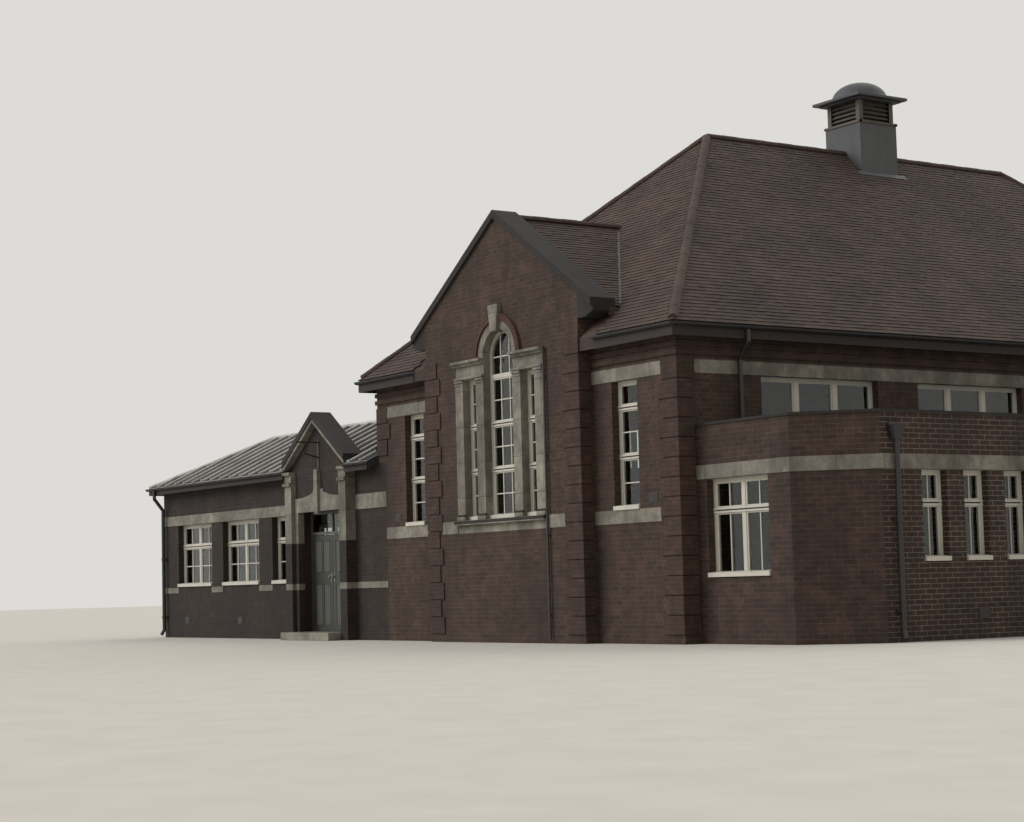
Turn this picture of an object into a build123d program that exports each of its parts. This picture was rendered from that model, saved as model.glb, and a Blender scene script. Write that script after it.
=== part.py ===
"""Edwardian church hall in brick and stone: hipped hall with a gabled bay, low wing and flat-roofed annex."""
import os
from math import atan2, cos, degrees, radians, sin, tan

from build123d import *

os.makedirs("parts", exist_ok=True)

# X runs along the street front, Y into the building and Z up from the ground, all in millimetres.
# The origin is at ground level under the front wall of the hall, in the middle of its width.
wall = 340.0
floor_top = 150.0
band_depth = 110.0
band_proud = 12.0
band_height = 215.0
sash_setback = 130.0
sash_depth = 70.0
sash_member = 50.0
sash_rail = 70.0
glass_thickness = 6.0

# Hall
hall_half = 4525.0
hall_length = 16800.0
hall_pitch = 41.6
hall_eaves_z = 4870.0
overhang = 240.0
roof_thickness = 200.0
lower_band_z = 1875.0
lintel_band_z = 4130.0
string_height = 75.0
string_proud = 30.0
string_courses = 2
string_gap = 60.0
strip_window_width = 660.0
strip_window_edge = 3520.0
rail_levels = (2930.0, 3710.0)
clerestory_sill_z = 3200.0
clerestory_first = 1680.0
clerestory_pitch = 3410.0
clerestory_groups = 4
clerestory_lights = 3
clerestory_light = 740.0
clerestory_post = 90.0
inner_doorway_width = 1400.0
inner_doorway_head = 2300.0
quoin_height = 300.0
quoin_joint = 14.0
quoin_wide = 470.0
quoin_narrow = 370.0
quoin_proud = 22.0
quoin_return = 300.0
bay_quoin_return = 190.0
quoin_levels = 14
bay_quoin_levels = 16
left_quoin_start = 11

# Gabled bay
bay_half = 2335.0
bay_projection = 250.0
bay_apex_z = 7360.0
bay_coping_half = 2760.0
bay_coping_foot_z = 5500.0
bay_coping_thickness = 140.0
bay_coping_depth = 500.0
bay_coping_front = 50.0
kneeler_drop = 440.0
bay_roof_thickness = 150.0
bay_roof_reach = 4000.0

# Three-light arched window of the bay
centre_light_half = 445.0
pilaster = 240.0
side_light = 410.0
entablature_z = 4530.0
springing_z = 4860.0
arch_ring = 155.0
hood_ring = 110.0
hood_proud = 45.0
surround_depth = 200.0
pilaster_proud = 20.0
cornice_height = 90.0
cornice_proud = 110.0
cornice_side = 30.0
sill_height = 75.0
sill_proud = 90.0
keystone_drop = 40.0
keystone_half_top = 150.0
keystone_half_foot = 85.0
keystone_top_z = 5720.0
keystone_proud = 90.0

# Low wing on the left, with its front flush with the hall
wing_left = 14200.0
wing_depth = 3720.0
wing_eaves_z = 3360.0
wing_pitch = 26.0
wing_roof_thickness = 150.0
roll_pitch = 460.0
roll_width = 50.0
roll_height = 45.0
link_lap = 295.0
link_band_height = 290.0
wing_head_z = 2480.0
wing_sill_z = 1120.0
wing_sill_band_z = 980.0
wing_sill_band_height = 120.0
wing_pair_width = 1700.0
wing_single_width = 850.0
wing_window_edges = (13450.0, 11200.0)
wing_single_edge = 8900.0
wing_transom_z = 2000.0

# Entrance in the wing
porch_centre = 6660.0
porch_half = 1240.0
porch_projection = 220.0
pilaster_width = 270.0
jamb_strip = 130.0
lintel_setback = 80.0
tympanum_setback = 110.0
pier_stone_z = 1900.0
door_half = 880.0
door_head_z = 2510.0
lintel_height = 280.0
shoulder_rise = 160.0
console_half = 70.0
console_foot_z = 2460.0
console_top_z = 3330.0
console_proud = 55.0
volute_radius = 45.0
shoulder_steps = 5
cap_z = 3050.0
cap_height = 60.0
cap_proud = 45.0
porch_apex_z = 4460.0
porch_coping_half = 1260.0
porch_coping_foot_z = 3560.0
porch_coping_thickness = 130.0
porch_coping_depth = 440.0
porch_coping_front = 50.0
rake_thickness = 80.0
rake_proud = 30.0
bracket_reach = 500.0
bracket_z = 3860.0
bracket_arm_reach = 330.0
bracket_arm_z = 3540.0
bracket_arm_rise = 90.0
bracket_bar = 14.0
step_reach = 280.0

# Double door
door_setback = 390.0
leaf_thickness = 45.0
leaf_gap = 9.0
jamb = 54.0
transom_z = 2060.0
leaf_stile = 110.0
panel_recess = 14.0
mid_rail_z = 1200.0
knuckle_radius = 7.0
knuckle_length = 90.0
knuckle_gap = 0.3
knuckle_levels = (350.0, 1000.0, 1750.0)

# Flat-roofed annex on the right
annex_front = 330.0
annex_reach = 3030.0
annex_cant = 920.0
annex_parapet_z = 3300.0
annex_roof_z = 2950.0
annex_roof_thickness = 150.0
annex_window_width = 1400.0
annex_window_edge = 225.0
annex_sill_z = 1000.0
annex_transom_z = 2000.0
annex_light_width = 510.0
annex_light_pitch = 855.0
annex_first = 2040.0
annex_group_lights = 3
annex_light_sill_z = 1150.0

# Louvred ventilator on the ridge
cupola_half = 435.0
cupola_base_half = 480.0
cupola_base_rise = 600.0
cupola_louvre_height = 420.0
cupola_slats = 5
cupola_slat = 18.0
cupola_slat_run = 90.0
cupola_post = 90.0
cupola_cornice_half = 650.0
cupola_cornice_height = 90.0
cupola_dome_radius = 540.0
cupola_dome_height = 370.0
dome_steps = 7
dome_sides = 24

# Rainwater goods
gutter = 100.0
gutter_wall = 8.0
gutter_drop = 30.0
pipe_radius = 38.0
pipe_stand = 22.0
pipe_foot = 60.0
pipe_sides = 12
thin_pipe_radius = 20.0
pipe_inset = 120.0
side_pipe_y = 1200.0
neck_height = 440.0
neck_straight = 180.0
clip_height = 50.0
clip_foot = 450.0
clip_spacing = 1300.0
hopper_height = 230.0
hopper_width = 240.0
hopper_z = 2900.0

# Sizes that follow from those above
hall_rise = tan(radians(hall_pitch))
wing_rise = tan(radians(wing_pitch))
eave_half = hall_half + overhang
hall_ridge_z = hall_eaves_z + eave_half * hall_rise
hall_wall_top = hall_eaves_z + overhang * hall_rise - roof_thickness
lower_band_top = lower_band_z + band_height
lintel_band_top = lintel_band_z + band_height
bay_face = -bay_projection
bay_slope = (bay_apex_z - bay_coping_foot_z) / bay_coping_half
bay_under_apex = bay_apex_z - bay_coping_thickness
bay_shoulder_z = bay_under_apex - bay_half * bay_slope
inner_pilaster = centre_light_half + pilaster
side_outer = inner_pilaster + side_light
window_half = side_outer + pilaster
light_sill_z = lower_band_top
wing_ridge_y = wing_depth / 2
wing_wall_top = wing_eaves_z + overhang * wing_rise - wing_roof_thickness
wing_ridge_z = wing_eaves_z + (wing_ridge_y + overhang) * wing_rise
band_low_top = wing_head_z + band_height
sill_band_top = wing_sill_band_z + wing_sill_band_height
link_end = -hall_half + link_lap
porch_face = -porch_projection
porch_slope = (porch_apex_z - porch_coping_foot_z) / porch_coping_half
porch_under_apex = porch_apex_z - porch_coping_thickness
tympanum_face = porch_face + tympanum_setback
door_face = porch_face + door_setback
door_back = door_face + leaf_thickness
lintel_top_z = door_head_z + lintel_height
porch_gable_back = porch_face - porch_coping_front + porch_coping_depth
clerestory_bay = clerestory_light + clerestory_post
clerestory_width = clerestory_lights * clerestory_bay - clerestory_post + 2 * sash_member
annex_face = hall_half + annex_reach
annex_turn = annex_face - annex_cant
annex_corner = annex_front + annex_cant
cupola_y = hall_length / 2
cupola_base_top = hall_ridge_z + cupola_base_rise
thin_pipe_x = window_half + cornice_side + thin_pipe_radius * 2
INWARD = -1
REARWARD = 1

front_plane = Plane.XZ
bay_plane = Plane.XZ.offset(bay_projection)
rear_plane = Plane.XZ.offset(-hall_length)
right_plane = Plane.YZ.offset(hall_half)
left_plane = Plane.YZ.offset(-hall_half)
annex_front_plane = Plane.XZ.offset(-annex_front)
annex_side_plane = Plane.YZ.offset(annex_face)


def box_profile(x0, x1, z0, z1, mode=Mode.ADD):
    """Rectangle between two corners, on the sketch in hand."""
    with Locations(((x0 + x1) / 2, (z0 + z1) / 2)):
        Rectangle(abs(x1 - x0), z1 - z0, mode=mode)


def finish(piece, name):
    """Label a finished piece and write it."""
    piece.part.label = name
    export_step(piece.part, f"parts/{name}.step")


def panes(x0, x1, z0, z1, rails=(), columns=1, post=sash_rail, member=sash_member):
    """Clear panes of a sash between its outer frame, its rails and its posts, as (x0, x1, z0, z1)."""
    levels = [z0 + member]
    for rail in rails:
        levels += [rail - sash_rail / 2, rail + sash_rail / 2]
    levels.append(z1 - member)
    light = (x1 - x0 - 2 * member - (columns - 1) * post) / columns
    lefts = [x0 + member + index * (light + post) for index in range(columns)]
    return [(left, left + light, low, high) for left in lefts for low, high in zip(levels[::2], levels[1::2])]


def annex_plan(depth):
    """Plan of the annex, its face moved inwards by a depth all round."""
    turn = depth * tan(radians(22.5))
    near = [
        (hall_half, annex_front + depth), (annex_turn - turn, annex_front + depth),
        (annex_face - depth, annex_corner + turn),
    ]
    return near + [(x, hall_length - y) for x, y in reversed(near)]


def chevron(half, foot, apex, thickness):
    """Gable-shaped strip with plumb ends, as the points of its outline."""
    upper = [(-half, foot), (0, apex), (half, foot)]
    return upper + [(x, z - thickness) for x, z in reversed(upper)]


# Each window is its opening (x0, x1, z0, z1) on a wall plane, with rails, columns and posts
strip_openings = []
for side in (-1, 1):
    edges = sorted((side * strip_window_edge, side * (strip_window_edge - strip_window_width)))
    strip_openings.append((edges[0], edges[1], lower_band_top, lintel_band_z))
rear_inner = strip_window_edge - 2 * strip_window_width
rear_openings = list(strip_openings)
for side in (-1, 1):
    edges = sorted((side * rear_inner, side * (rear_inner - strip_window_width)))
    rear_openings.append((edges[0], edges[1], lower_band_top, lintel_band_z))
clerestory_openings = []
for group in range(clerestory_groups):
    start = clerestory_first + group * clerestory_pitch
    clerestory_openings.append((start, start + clerestory_width, clerestory_sill_z, lintel_band_z))
left_clerestory = [opening for opening in clerestory_openings if opening[0] > wing_depth + overhang]
wing_openings = [(-edge, -edge + wing_pair_width, wing_sill_z, wing_head_z) for edge in wing_window_edges]
wing_single = (-wing_single_edge, -wing_single_edge + wing_single_width, wing_sill_z, wing_head_z)
annex_window_left = hall_half + annex_window_edge
annex_opening = (annex_window_left, annex_window_left + annex_window_width, annex_sill_z, wing_head_z)
annex_lights = []
for group in range(clerestory_groups):
    for light in range(annex_group_lights):
        start = annex_first + group * clerestory_pitch + light * annex_light_pitch
        annex_lights.append((start, start + annex_light_width, annex_light_sill_z, wing_head_z))

# Ground floors inside the walls, carried through the inner doorways
inner = hall_half - wall
wing_doorway = wing_ridge_y - inner_doorway_width / 2
annex_doorway = hall_length / 2 - inner_doorway_width / 2
with BuildPart() as hall_floor:
    with BuildSketch():
        box_profile(-inner, inner, wall, hall_length - wall)
        box_profile(-bay_half, bay_half, bay_face + wall, wall)
        box_profile(-hall_half, -inner, wing_doorway, wing_doorway + inner_doorway_width)
        box_profile(inner, hall_half, annex_doorway, annex_doorway + inner_doorway_width)
    extrude(amount=floor_top)
finish(hall_floor, "hall_floor")

with BuildPart() as wing_floor:
    with BuildSketch():
        box_profile(-wing_left + wall, -hall_half, wall, wing_depth - wall)
    extrude(amount=floor_top)
finish(wing_floor, "wing_floor")

with BuildPart() as annex_floor:
    with BuildSketch():
        Polygon(*annex_plan(wall))
    extrude(amount=floor_top)
finish(annex_floor, "annex_floor")

# Front wall of the hall on both sides of the bay, with chases for the stone bands
front_bands = []
for side, end, low in (
    (-1, link_lap, lower_band_z), (-1, quoin_narrow, lintel_band_z),
    (1, quoin_wide, lower_band_z), (1, quoin_narrow, lintel_band_z),
):
    edges = sorted((side * bay_half, side * (hall_half - end)))
    front_bands.append((edges[0], edges[1], low, low + band_height))
with BuildPart() as hall_front_wall:
    with BuildSketch(front_plane):
        for side in (-1, 1):
            edges = sorted((side * bay_half, side * hall_half))
            box_profile(edges[0], edges[1], 0, hall_wall_top)
        for opening in strip_openings:
            box_profile(*opening, mode=Mode.SUBTRACT)
        box_profile(-hall_half, link_end, 0, wing_wall_top, mode=Mode.SUBTRACT)
    extrude(amount=INWARD * wall)
    with BuildSketch(front_plane):
        for band in front_bands:
            box_profile(*band)
    extrude(amount=INWARD * band_depth, mode=Mode.SUBTRACT)
finish(hall_front_wall, "hall_front_wall")

rear_bands = [
    (-hall_half + quoin_wide, hall_half - quoin_wide, lower_band_z, lower_band_top),
    (-hall_half + quoin_narrow, hall_half - quoin_narrow, lintel_band_z, lintel_band_top),
]
with BuildPart() as hall_rear_wall:
    with BuildSketch(rear_plane):
        box_profile(-hall_half, hall_half, 0, hall_wall_top)
        for opening in rear_openings:
            box_profile(*opening, mode=Mode.SUBTRACT)
    extrude(amount=REARWARD * wall)
    with BuildSketch(rear_plane):
        for band in rear_bands:
            box_profile(*band)
    extrude(amount=REARWARD * band_depth, mode=Mode.SUBTRACT)
finish(hall_rear_wall, "hall_rear_wall")

# Side walls: an upper wall with the clerestory, on two lengths of base wall with a doorway between them
side_band = (wall, hall_length - wall, lintel_band_z, lintel_band_top)
left_band = (wing_depth + overhang, hall_length - wall, lintel_band_z, lintel_band_top)


def side_wall(name, plane, inward, openings, band):
    """Upper side wall of the hall from the doorway heads to the eaves."""
    with BuildPart() as upper:
        with BuildSketch(plane):
            box_profile(wall, hall_length - wall, inner_doorway_head, hall_wall_top)
            for opening in openings:
                box_profile(*opening, mode=Mode.SUBTRACT)
        extrude(amount=inward * wall)
        with BuildSketch(plane):
            box_profile(*band)
        extrude(amount=inward * band_depth, mode=Mode.SUBTRACT)
    finish(upper, name)


side_wall("hall_right_wall", right_plane, INWARD, clerestory_openings, side_band)
side_wall("hall_left_wall", left_plane, REARWARD, left_clerestory, left_band)

with BuildPart() as hall_base_walls:
    for plane, inward, doorway in (
        (right_plane, INWARD, annex_doorway), (left_plane, REARWARD, wing_doorway),
    ):
        with BuildSketch(plane):
            box_profile(wall, doorway, 0, inner_doorway_head)
            box_profile(doorway + inner_doorway_width, hall_length - wall, 0, inner_doorway_head)
        extrude(amount=inward * wall)
finish(hall_base_walls, "hall_base_walls")

# Gabled bay wall, opened for the three-light window with its arched head
ring_outer = centre_light_half + arch_ring
hood_outer = ring_outer + hood_ring
sill_half = window_half + cornice_side
bay_bands = []
for side in (-1, 1):
    edges = sorted((side * sill_half, side * (bay_half - quoin_wide)))
    bay_bands.append((edges[0], edges[1], lower_band_z, lower_band_top))
keystone_foot_z = springing_z + centre_light_half - keystone_drop
keystone = [
    (-keystone_half_foot, keystone_foot_z), (keystone_half_foot, keystone_foot_z),
    (keystone_half_top, keystone_top_z), (-keystone_half_top, keystone_top_z),
]
with BuildPart() as bay_wall:
    with BuildSketch(bay_plane):
        Polygon(
            (-bay_half, 0), (bay_half, 0), (bay_half, bay_shoulder_z),
            (0, bay_under_apex), (-bay_half, bay_shoulder_z),
        )
        box_profile(-window_half, window_half, light_sill_z, springing_z, mode=Mode.SUBTRACT)
        with Locations((0, springing_z)):
            Circle(ring_outer, mode=Mode.SUBTRACT)
    extrude(amount=INWARD * wall)
    with BuildSketch(bay_plane):
        for band in bay_bands:
            box_profile(*band)
        box_profile(-sill_half, sill_half, lower_band_z, lower_band_top)
    extrude(amount=INWARD * band_depth, mode=Mode.SUBTRACT)
    with BuildSketch(bay_plane):
        Polygon(*keystone)
    extrude(amount=INWARD * surround_depth, mode=Mode.SUBTRACT)
finish(bay_wall, "bay_wall")

# Stone surround of the three-light window: jambs, pilasters, entablature, cornice, arch ring, keystone, sill
side_lights = [
    (-side_outer, -inner_pilaster, light_sill_z, entablature_z),
    (inner_pilaster, side_outer, light_sill_z, entablature_z),
]
with BuildPart() as venetian_surround:
    with BuildSketch(bay_plane):
        box_profile(-window_half, window_half, light_sill_z, springing_z)
        with Locations((0, springing_z)):
            Circle(ring_outer)
        for opening in side_lights:
            box_profile(*opening, mode=Mode.SUBTRACT)
        box_profile(-centre_light_half, centre_light_half, light_sill_z, springing_z, mode=Mode.SUBTRACT)
        with Locations((0, springing_z)):
            Circle(centre_light_half, mode=Mode.SUBTRACT)
    extrude(amount=INWARD * surround_depth)
    with BuildSketch(bay_plane):
        with Locations((0, springing_z)):
            Circle(ring_outer)
            Circle(centre_light_half, mode=Mode.SUBTRACT)
        box_profile(-ring_outer, ring_outer, springing_z - ring_outer, springing_z, mode=Mode.SUBTRACT)
        for start in (-window_half, -inner_pilaster, centre_light_half, side_outer):
            box_profile(start, start + pilaster, light_sill_z, entablature_z)
    extrude(amount=pilaster_proud)
    for height, proud in ((cornice_height, cornice_proud / 2), (cornice_height / 2, cornice_proud)):
        with BuildSketch(bay_plane):
            box_profile(-sill_half, -centre_light_half, springing_z - height, springing_z)
            box_profile(centre_light_half, sill_half, springing_z - height, springing_z)
        extrude(amount=proud)
    with BuildSketch(bay_plane.offset(-surround_depth)):
        Polygon(*keystone)
    extrude(amount=surround_depth + keystone_proud)
    with BuildSketch(bay_plane.offset(-band_depth)):
        box_profile(-sill_half, sill_half, lower_band_z, lower_band_top)
    extrude(amount=band_depth)
    with BuildSketch(bay_plane):
        box_profile(-sill_half, sill_half, light_sill_z - sill_height, light_sill_z)
    extrude(amount=sill_proud)
finish(venetian_surround, "venetian_surround")

# Brick hood over the arch, in two lengths beside the keystone
with BuildPart() as bay_hood:
    with BuildSketch(bay_plane):
        with Locations((0, springing_z)):
            Circle(hood_outer)
            Circle(ring_outer, mode=Mode.SUBTRACT)
        box_profile(-hood_outer, hood_outer, springing_z - hood_outer, springing_z, mode=Mode.SUBTRACT)
        Polygon(*keystone, mode=Mode.SUBTRACT)
    extrude(amount=hood_proud)
finish(bay_hood, "bay_hood")

# Coping of the bay gable, with a kneeler under each foot
kneeler_z = bay_shoulder_z - kneeler_drop
kneeler_under = bay_coping_foot_z - bay_coping_thickness
with BuildPart() as bay_coping:
    with BuildSketch(bay_plane.offset(bay_coping_front)):
        Polygon(*chevron(bay_coping_half, bay_coping_foot_z, bay_apex_z, bay_coping_thickness))
    extrude(amount=INWARD * bay_coping_depth)
    with BuildSketch(bay_plane):
        for side in (-1, 1):
            Polygon(
                (side * bay_half, kneeler_z), (side * (bay_half + bay_coping_half) / 2, kneeler_z),
                (side * bay_coping_half, kneeler_under - kneeler_drop / 6),
                (side * bay_coping_half, kneeler_under),
                (side * bay_half, bay_shoulder_z),
            )
    extrude(amount=INWARD * wall)
finish(bay_coping, "bay_coping")

# Roof of the bay, running back from the gable into the front slope of the hall
hip_surface = Plane(origin=(0, -overhang, hall_eaves_z), z_dir=(0, -hall_rise, 1))
with BuildPart() as bay_roof:
    with BuildSketch(bay_plane.offset(-wall)):
        Polygon(*chevron(bay_coping_half, kneeler_under, bay_under_apex, bay_roof_thickness))
    extrude(amount=INWARD * bay_roof_reach)
    split(bisect_by=hip_surface, keep=Keep.TOP)
finish(bay_roof, "bay_roof")

# Four slopes of the hall roof, mitred at the hips
side_slope = [
    (0, hall_ridge_z), (eave_half, hall_eaves_z),
    (eave_half, hall_eaves_z - roof_thickness), (0, hall_ridge_z - roof_thickness),
]
rear_eave = hall_length + overhang
for side, name in ((1, "hall_roof_right"), (-1, "hall_roof_left")):
    with BuildPart() as slope:
        with BuildSketch(Plane.XZ.offset(overhang)):
            Polygon(*[(side * x, z) for x, z in side_slope])
        extrude(amount=-(hall_length + 2 * overhang))
        split(bisect_by=Plane(origin=(side * eave_half, -overhang, 0), z_dir=(side, 1, 0)), keep=Keep.TOP)
        split(bisect_by=Plane(origin=(side * eave_half, rear_eave, 0), z_dir=(side, -1, 0)), keep=Keep.TOP)
    finish(slope, name)

for y_eave, inward, name in ((-overhang, 1, "hall_roof_front"), (rear_eave, -1, "hall_roof_rear")):
    with BuildPart() as slope:
        with BuildSketch(Plane.YZ.offset(-eave_half)):
            Polygon(*[(y_eave + inward * (eave_half - x), z) for x, z in side_slope])
        extrude(amount=2 * eave_half)
        for side in (-1, 1):
            mitre = Plane(origin=(side * eave_half, y_eave, 0), z_dir=(-side, -inward, 0))
            split(bisect_by=mitre, keep=Keep.TOP)
        if inward > 0:
            with BuildSketch():
                box_profile(-bay_half, bay_half, -overhang, bay_face + wall)
                notch = bay_half + quoin_proud
                box_profile(-notch, notch, -overhang, bay_face + bay_quoin_return)
            extrude(amount=hall_ridge_z, mode=Mode.SUBTRACT)
    finish(slope, name)

# Projecting brick courses under the eaves, stopped against the bay
with BuildPart() as string_course_work:
    for course in range(string_courses):
        course_foot_z = lintel_band_top + string_gap + course * (string_height + string_gap)
        with BuildSketch(Plane.XY.offset(course_foot_z)):
            course_half = hall_half + string_proud
            box_profile(-course_half, course_half, -string_proud, hall_length + string_proud)
            box_profile(-hall_half, hall_half, 0, hall_length, mode=Mode.SUBTRACT)
            box_profile(-bay_half, bay_half, -string_proud, 0, mode=Mode.SUBTRACT)
        extrude(amount=string_height)
finish(string_course_work, "string_courses")


def quoin(corner, outward, across, along):
    """Plan of one quoin block wrapped round a corner, or lying on the front alone where along is nothing."""
    x, y = corner
    sx, sy = outward
    if along == 0:
        points = [
            (x - sx * across, y), (x - sx * across, y + sy * quoin_proud), (x, y + sy * quoin_proud), (x, y),
        ]
    else:
        points = [
            (x - sx * across, y), (x - sx * across, y + sy * quoin_proud),
            (x + sx * quoin_proud, y + sy * quoin_proud),
            (x + sx * quoin_proud, y - sy * along), (x, y - sy * along), (x, y),
        ]
    Polygon(*points)


# Brick quoins, alternately wide and narrow, with a sunk joint between the blocks
quoin_base = lintel_band_top - quoin_levels * quoin_height
with BuildPart() as quoins:
    for level in range(bay_quoin_levels):
        width = quoin_narrow if level % 2 else quoin_wide
        with BuildSketch(Plane.XY.offset(quoin_base + level * quoin_height)):
            for side in (-1, 1):
                quoin((side * bay_half, bay_face), (side, -1), width, bay_quoin_return)
            if level < quoin_levels:
                quoin((hall_half, 0), (1, -1), width, quoin_return)
                quoin((hall_half, hall_length), (1, 1), width, quoin_return)
                quoin((-hall_half, hall_length), (-1, 1), width, quoin_return)
            if left_quoin_start <= level < quoin_levels:
                quoin((-hall_half, 0), (-1, -1), width, 0)
        extrude(amount=quoin_height - quoin_joint)
finish(quoins, "quoins")

# Walls of the low wing; the front is in two lengths beside the entrance
wing_cells = sorted(wing_openings + [wing_single])
wing_right = porch_centre + door_half
link_bands = [
    (-porch_centre + porch_half, link_end, wing_sill_band_z, sill_band_top),
    (-porch_centre + porch_half, link_end, wing_head_z, wing_head_z + link_band_height),
]
wing_jambs = [edge for opening in wing_cells for edge in opening[:2]]
sill_edges = [-wing_left] + wing_jambs + [-porch_centre - porch_half]
sill_bands = [
    (low, high, wing_sill_band_z, sill_band_top)
    for low, high in zip(sill_edges[::2], sill_edges[1::2])
]
with BuildPart() as wing_front_wall:
    with BuildSketch(front_plane):
        box_profile(-wing_left, -wing_right, 0, wing_wall_top)
        for opening in wing_cells:
            box_profile(*opening, mode=Mode.SUBTRACT)
    extrude(amount=INWARD * wall)
    with BuildSketch(front_plane):
        box_profile(-wing_left, -porch_centre - porch_half, wing_head_z, band_low_top)
        for band in sill_bands:
            box_profile(*band)
    extrude(amount=INWARD * band_depth, mode=Mode.SUBTRACT)
finish(wing_front_wall, "wing_front_wall")

with BuildPart() as wing_link_wall:
    with BuildSketch(front_plane):
        box_profile(-porch_centre + door_half, link_end, 0, wing_wall_top)
    extrude(amount=INWARD * wall)
    with BuildSketch(front_plane):
        for band in link_bands:
            box_profile(*band)
    extrude(amount=INWARD * band_depth, mode=Mode.SUBTRACT)
finish(wing_link_wall, "wing_link_wall")

wing_rear_plane = Plane.XZ.offset(-wing_depth)
with BuildPart() as wing_rear_wall:
    with BuildSketch(wing_rear_plane):
        box_profile(-wing_left, -hall_half, 0, wing_wall_top)
        for opening in wing_openings:
            box_profile(*opening, mode=Mode.SUBTRACT)
    extrude(amount=REARWARD * wall)
finish(wing_rear_wall, "wing_rear_wall")

with BuildPart() as wing_left_wall:
    with BuildSketch(Plane.YZ.offset(-wing_left)):
        box_profile(wall, wing_depth - wall, 0, wing_wall_top)
    extrude(amount=REARWARD * wall)
finish(wing_left_wall, "wing_left_wall")

# Slopes of the wing roof, of sheet laid over rolls, cut round the gable of the porch
wing_slope = [
    (-overhang, wing_eaves_z), (wing_ridge_y, wing_ridge_z),
    (wing_ridge_y, wing_ridge_z - wing_roof_thickness),
    (-overhang, wing_eaves_z - wing_roof_thickness),
]
wing_eave_left = -wing_left - overhang
wing_rear_eave = wing_depth + overhang
wing_run = (wing_ridge_y + overhang) / cos(radians(wing_pitch))


def rolls(first, last):
    """Rolls up a slope, one for each pitch between two places along its eave."""
    count = int(abs(last - first) // roll_pitch)
    step = roll_pitch if last > first else -roll_pitch
    with Locations(*[(first + step * (index + 0.5), wing_run / 2) for index in range(count)]):
        Rectangle(roll_width, wing_run)


for y_eave, inward, name in ((-overhang, 1, "wing_roof_front"), (wing_rear_eave, -1, "wing_roof_rear")):
    with BuildPart() as slope:
        with BuildSketch(Plane.YZ.offset(wing_eave_left)):
            Polygon(*[(y_eave + inward * (y + overhang), z) for y, z in wing_slope])
        extrude(amount=-hall_half - wing_eave_left)
        surface = Plane(
            origin=(0, y_eave, wing_eaves_z), x_dir=(inward, 0, 0), z_dir=(0, -inward * wing_rise, 1),
        )
        with BuildSketch(surface):
            rolls(-inward * hall_half, inward * wing_eave_left)
        extrude(amount=roll_height)
        split(bisect_by=Plane(origin=(wing_eave_left, y_eave, 0), z_dir=(1, -inward, 0)), keep=Keep.TOP)
        if inward > 0:
            with BuildSketch():
                porch_left = -porch_centre - porch_coping_half
                box_profile(porch_left, porch_left + 2 * porch_coping_half, -2 * overhang, porch_gable_back)
            extrude(amount=wing_ridge_z, mode=Mode.SUBTRACT)
    finish(slope, name)
with BuildPart() as wing_hip:
    with BuildSketch(Plane.XZ.offset(overhang)):
        Polygon(*[(wing_eave_left + y + overhang, z) for y, z in wing_slope])
    extrude(amount=-(wing_depth + 2 * overhang))
    surface = Plane(origin=(wing_eave_left, 0, wing_eaves_z), x_dir=(0, -1, 0), z_dir=(-wing_rise, 0, 1))
    with BuildSketch(surface):
        rolls(-wing_rear_eave, overhang)
    extrude(amount=roll_height)
    split(bisect_by=Plane(origin=(wing_eave_left, -overhang, 0), z_dir=(-1, 1, 0)), keep=Keep.TOP)
    split(bisect_by=Plane(origin=(wing_eave_left, wing_rear_eave, 0), z_dir=(-1, -1, 0)), keep=Keep.TOP)
finish(wing_hip, "wing_roof_hip")

# Annex with a canted corner at each end, a flat roof and a parapet
annex_faces = annex_plan(0)
annex_linings = annex_plan(wall)


def annex_wall(name, ends, plane=None, openings=()):
    """Annex walls between numbered corners of its plan, with mitred ends and a chase for the stone band."""
    with BuildPart() as run:
        with BuildSketch():
            for start in ends:
                stop = start + 1
                Polygon(annex_faces[start], annex_faces[stop], annex_linings[stop], annex_linings[start])
        extrude(amount=annex_parapet_z)
        if openings:
            with BuildSketch(plane):
                for opening in openings:
                    box_profile(*opening)
            extrude(amount=INWARD * wall, mode=Mode.SUBTRACT)
        with BuildSketch(Plane.XY.offset(wing_head_z)):
            Polygon(*annex_faces)
            Polygon(*annex_plan(band_depth), mode=Mode.SUBTRACT)
        extrude(amount=band_height, mode=Mode.SUBTRACT)
    finish(run, name)


annex_wall("annex_front_wall", (0,), annex_front_plane, [annex_opening])
annex_wall("annex_corner_walls", (1, 3))
annex_wall("annex_side_wall", (2,), annex_side_plane, annex_lights)
annex_wall("annex_rear_wall", (4,))

with BuildPart() as annex_roof:
    with BuildSketch(Plane.XY.offset(annex_roof_z - annex_roof_thickness)):
        Polygon(*annex_linings)
    extrude(amount=annex_roof_thickness)
finish(annex_roof, "annex_roof")

# Flush stone bands in their chases
with BuildPart() as stone_bands:
    for plane, inward, bands in (
        (front_plane, INWARD, front_bands + sill_bands + link_bands),
        (front_plane, INWARD, [(-wing_left, -porch_centre - porch_half, wing_head_z, band_low_top)]),
        (bay_plane, INWARD, bay_bands),
        (rear_plane, REARWARD, rear_bands),
        (right_plane, INWARD, [side_band]),
        (left_plane, REARWARD, [left_band]),
    ):
        with BuildSketch(plane.offset(inward * band_depth)):
            for band in bands:
                box_profile(*band)
        extrude(amount=-inward * (band_depth + band_proud))
    with BuildSketch(Plane.XY.offset(wing_head_z)):
        Polygon(*annex_plan(-band_proud))
        Polygon(*annex_plan(band_depth), mode=Mode.SUBTRACT)
    extrude(amount=band_height)
finish(stone_bands, "stone_bands")

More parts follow.
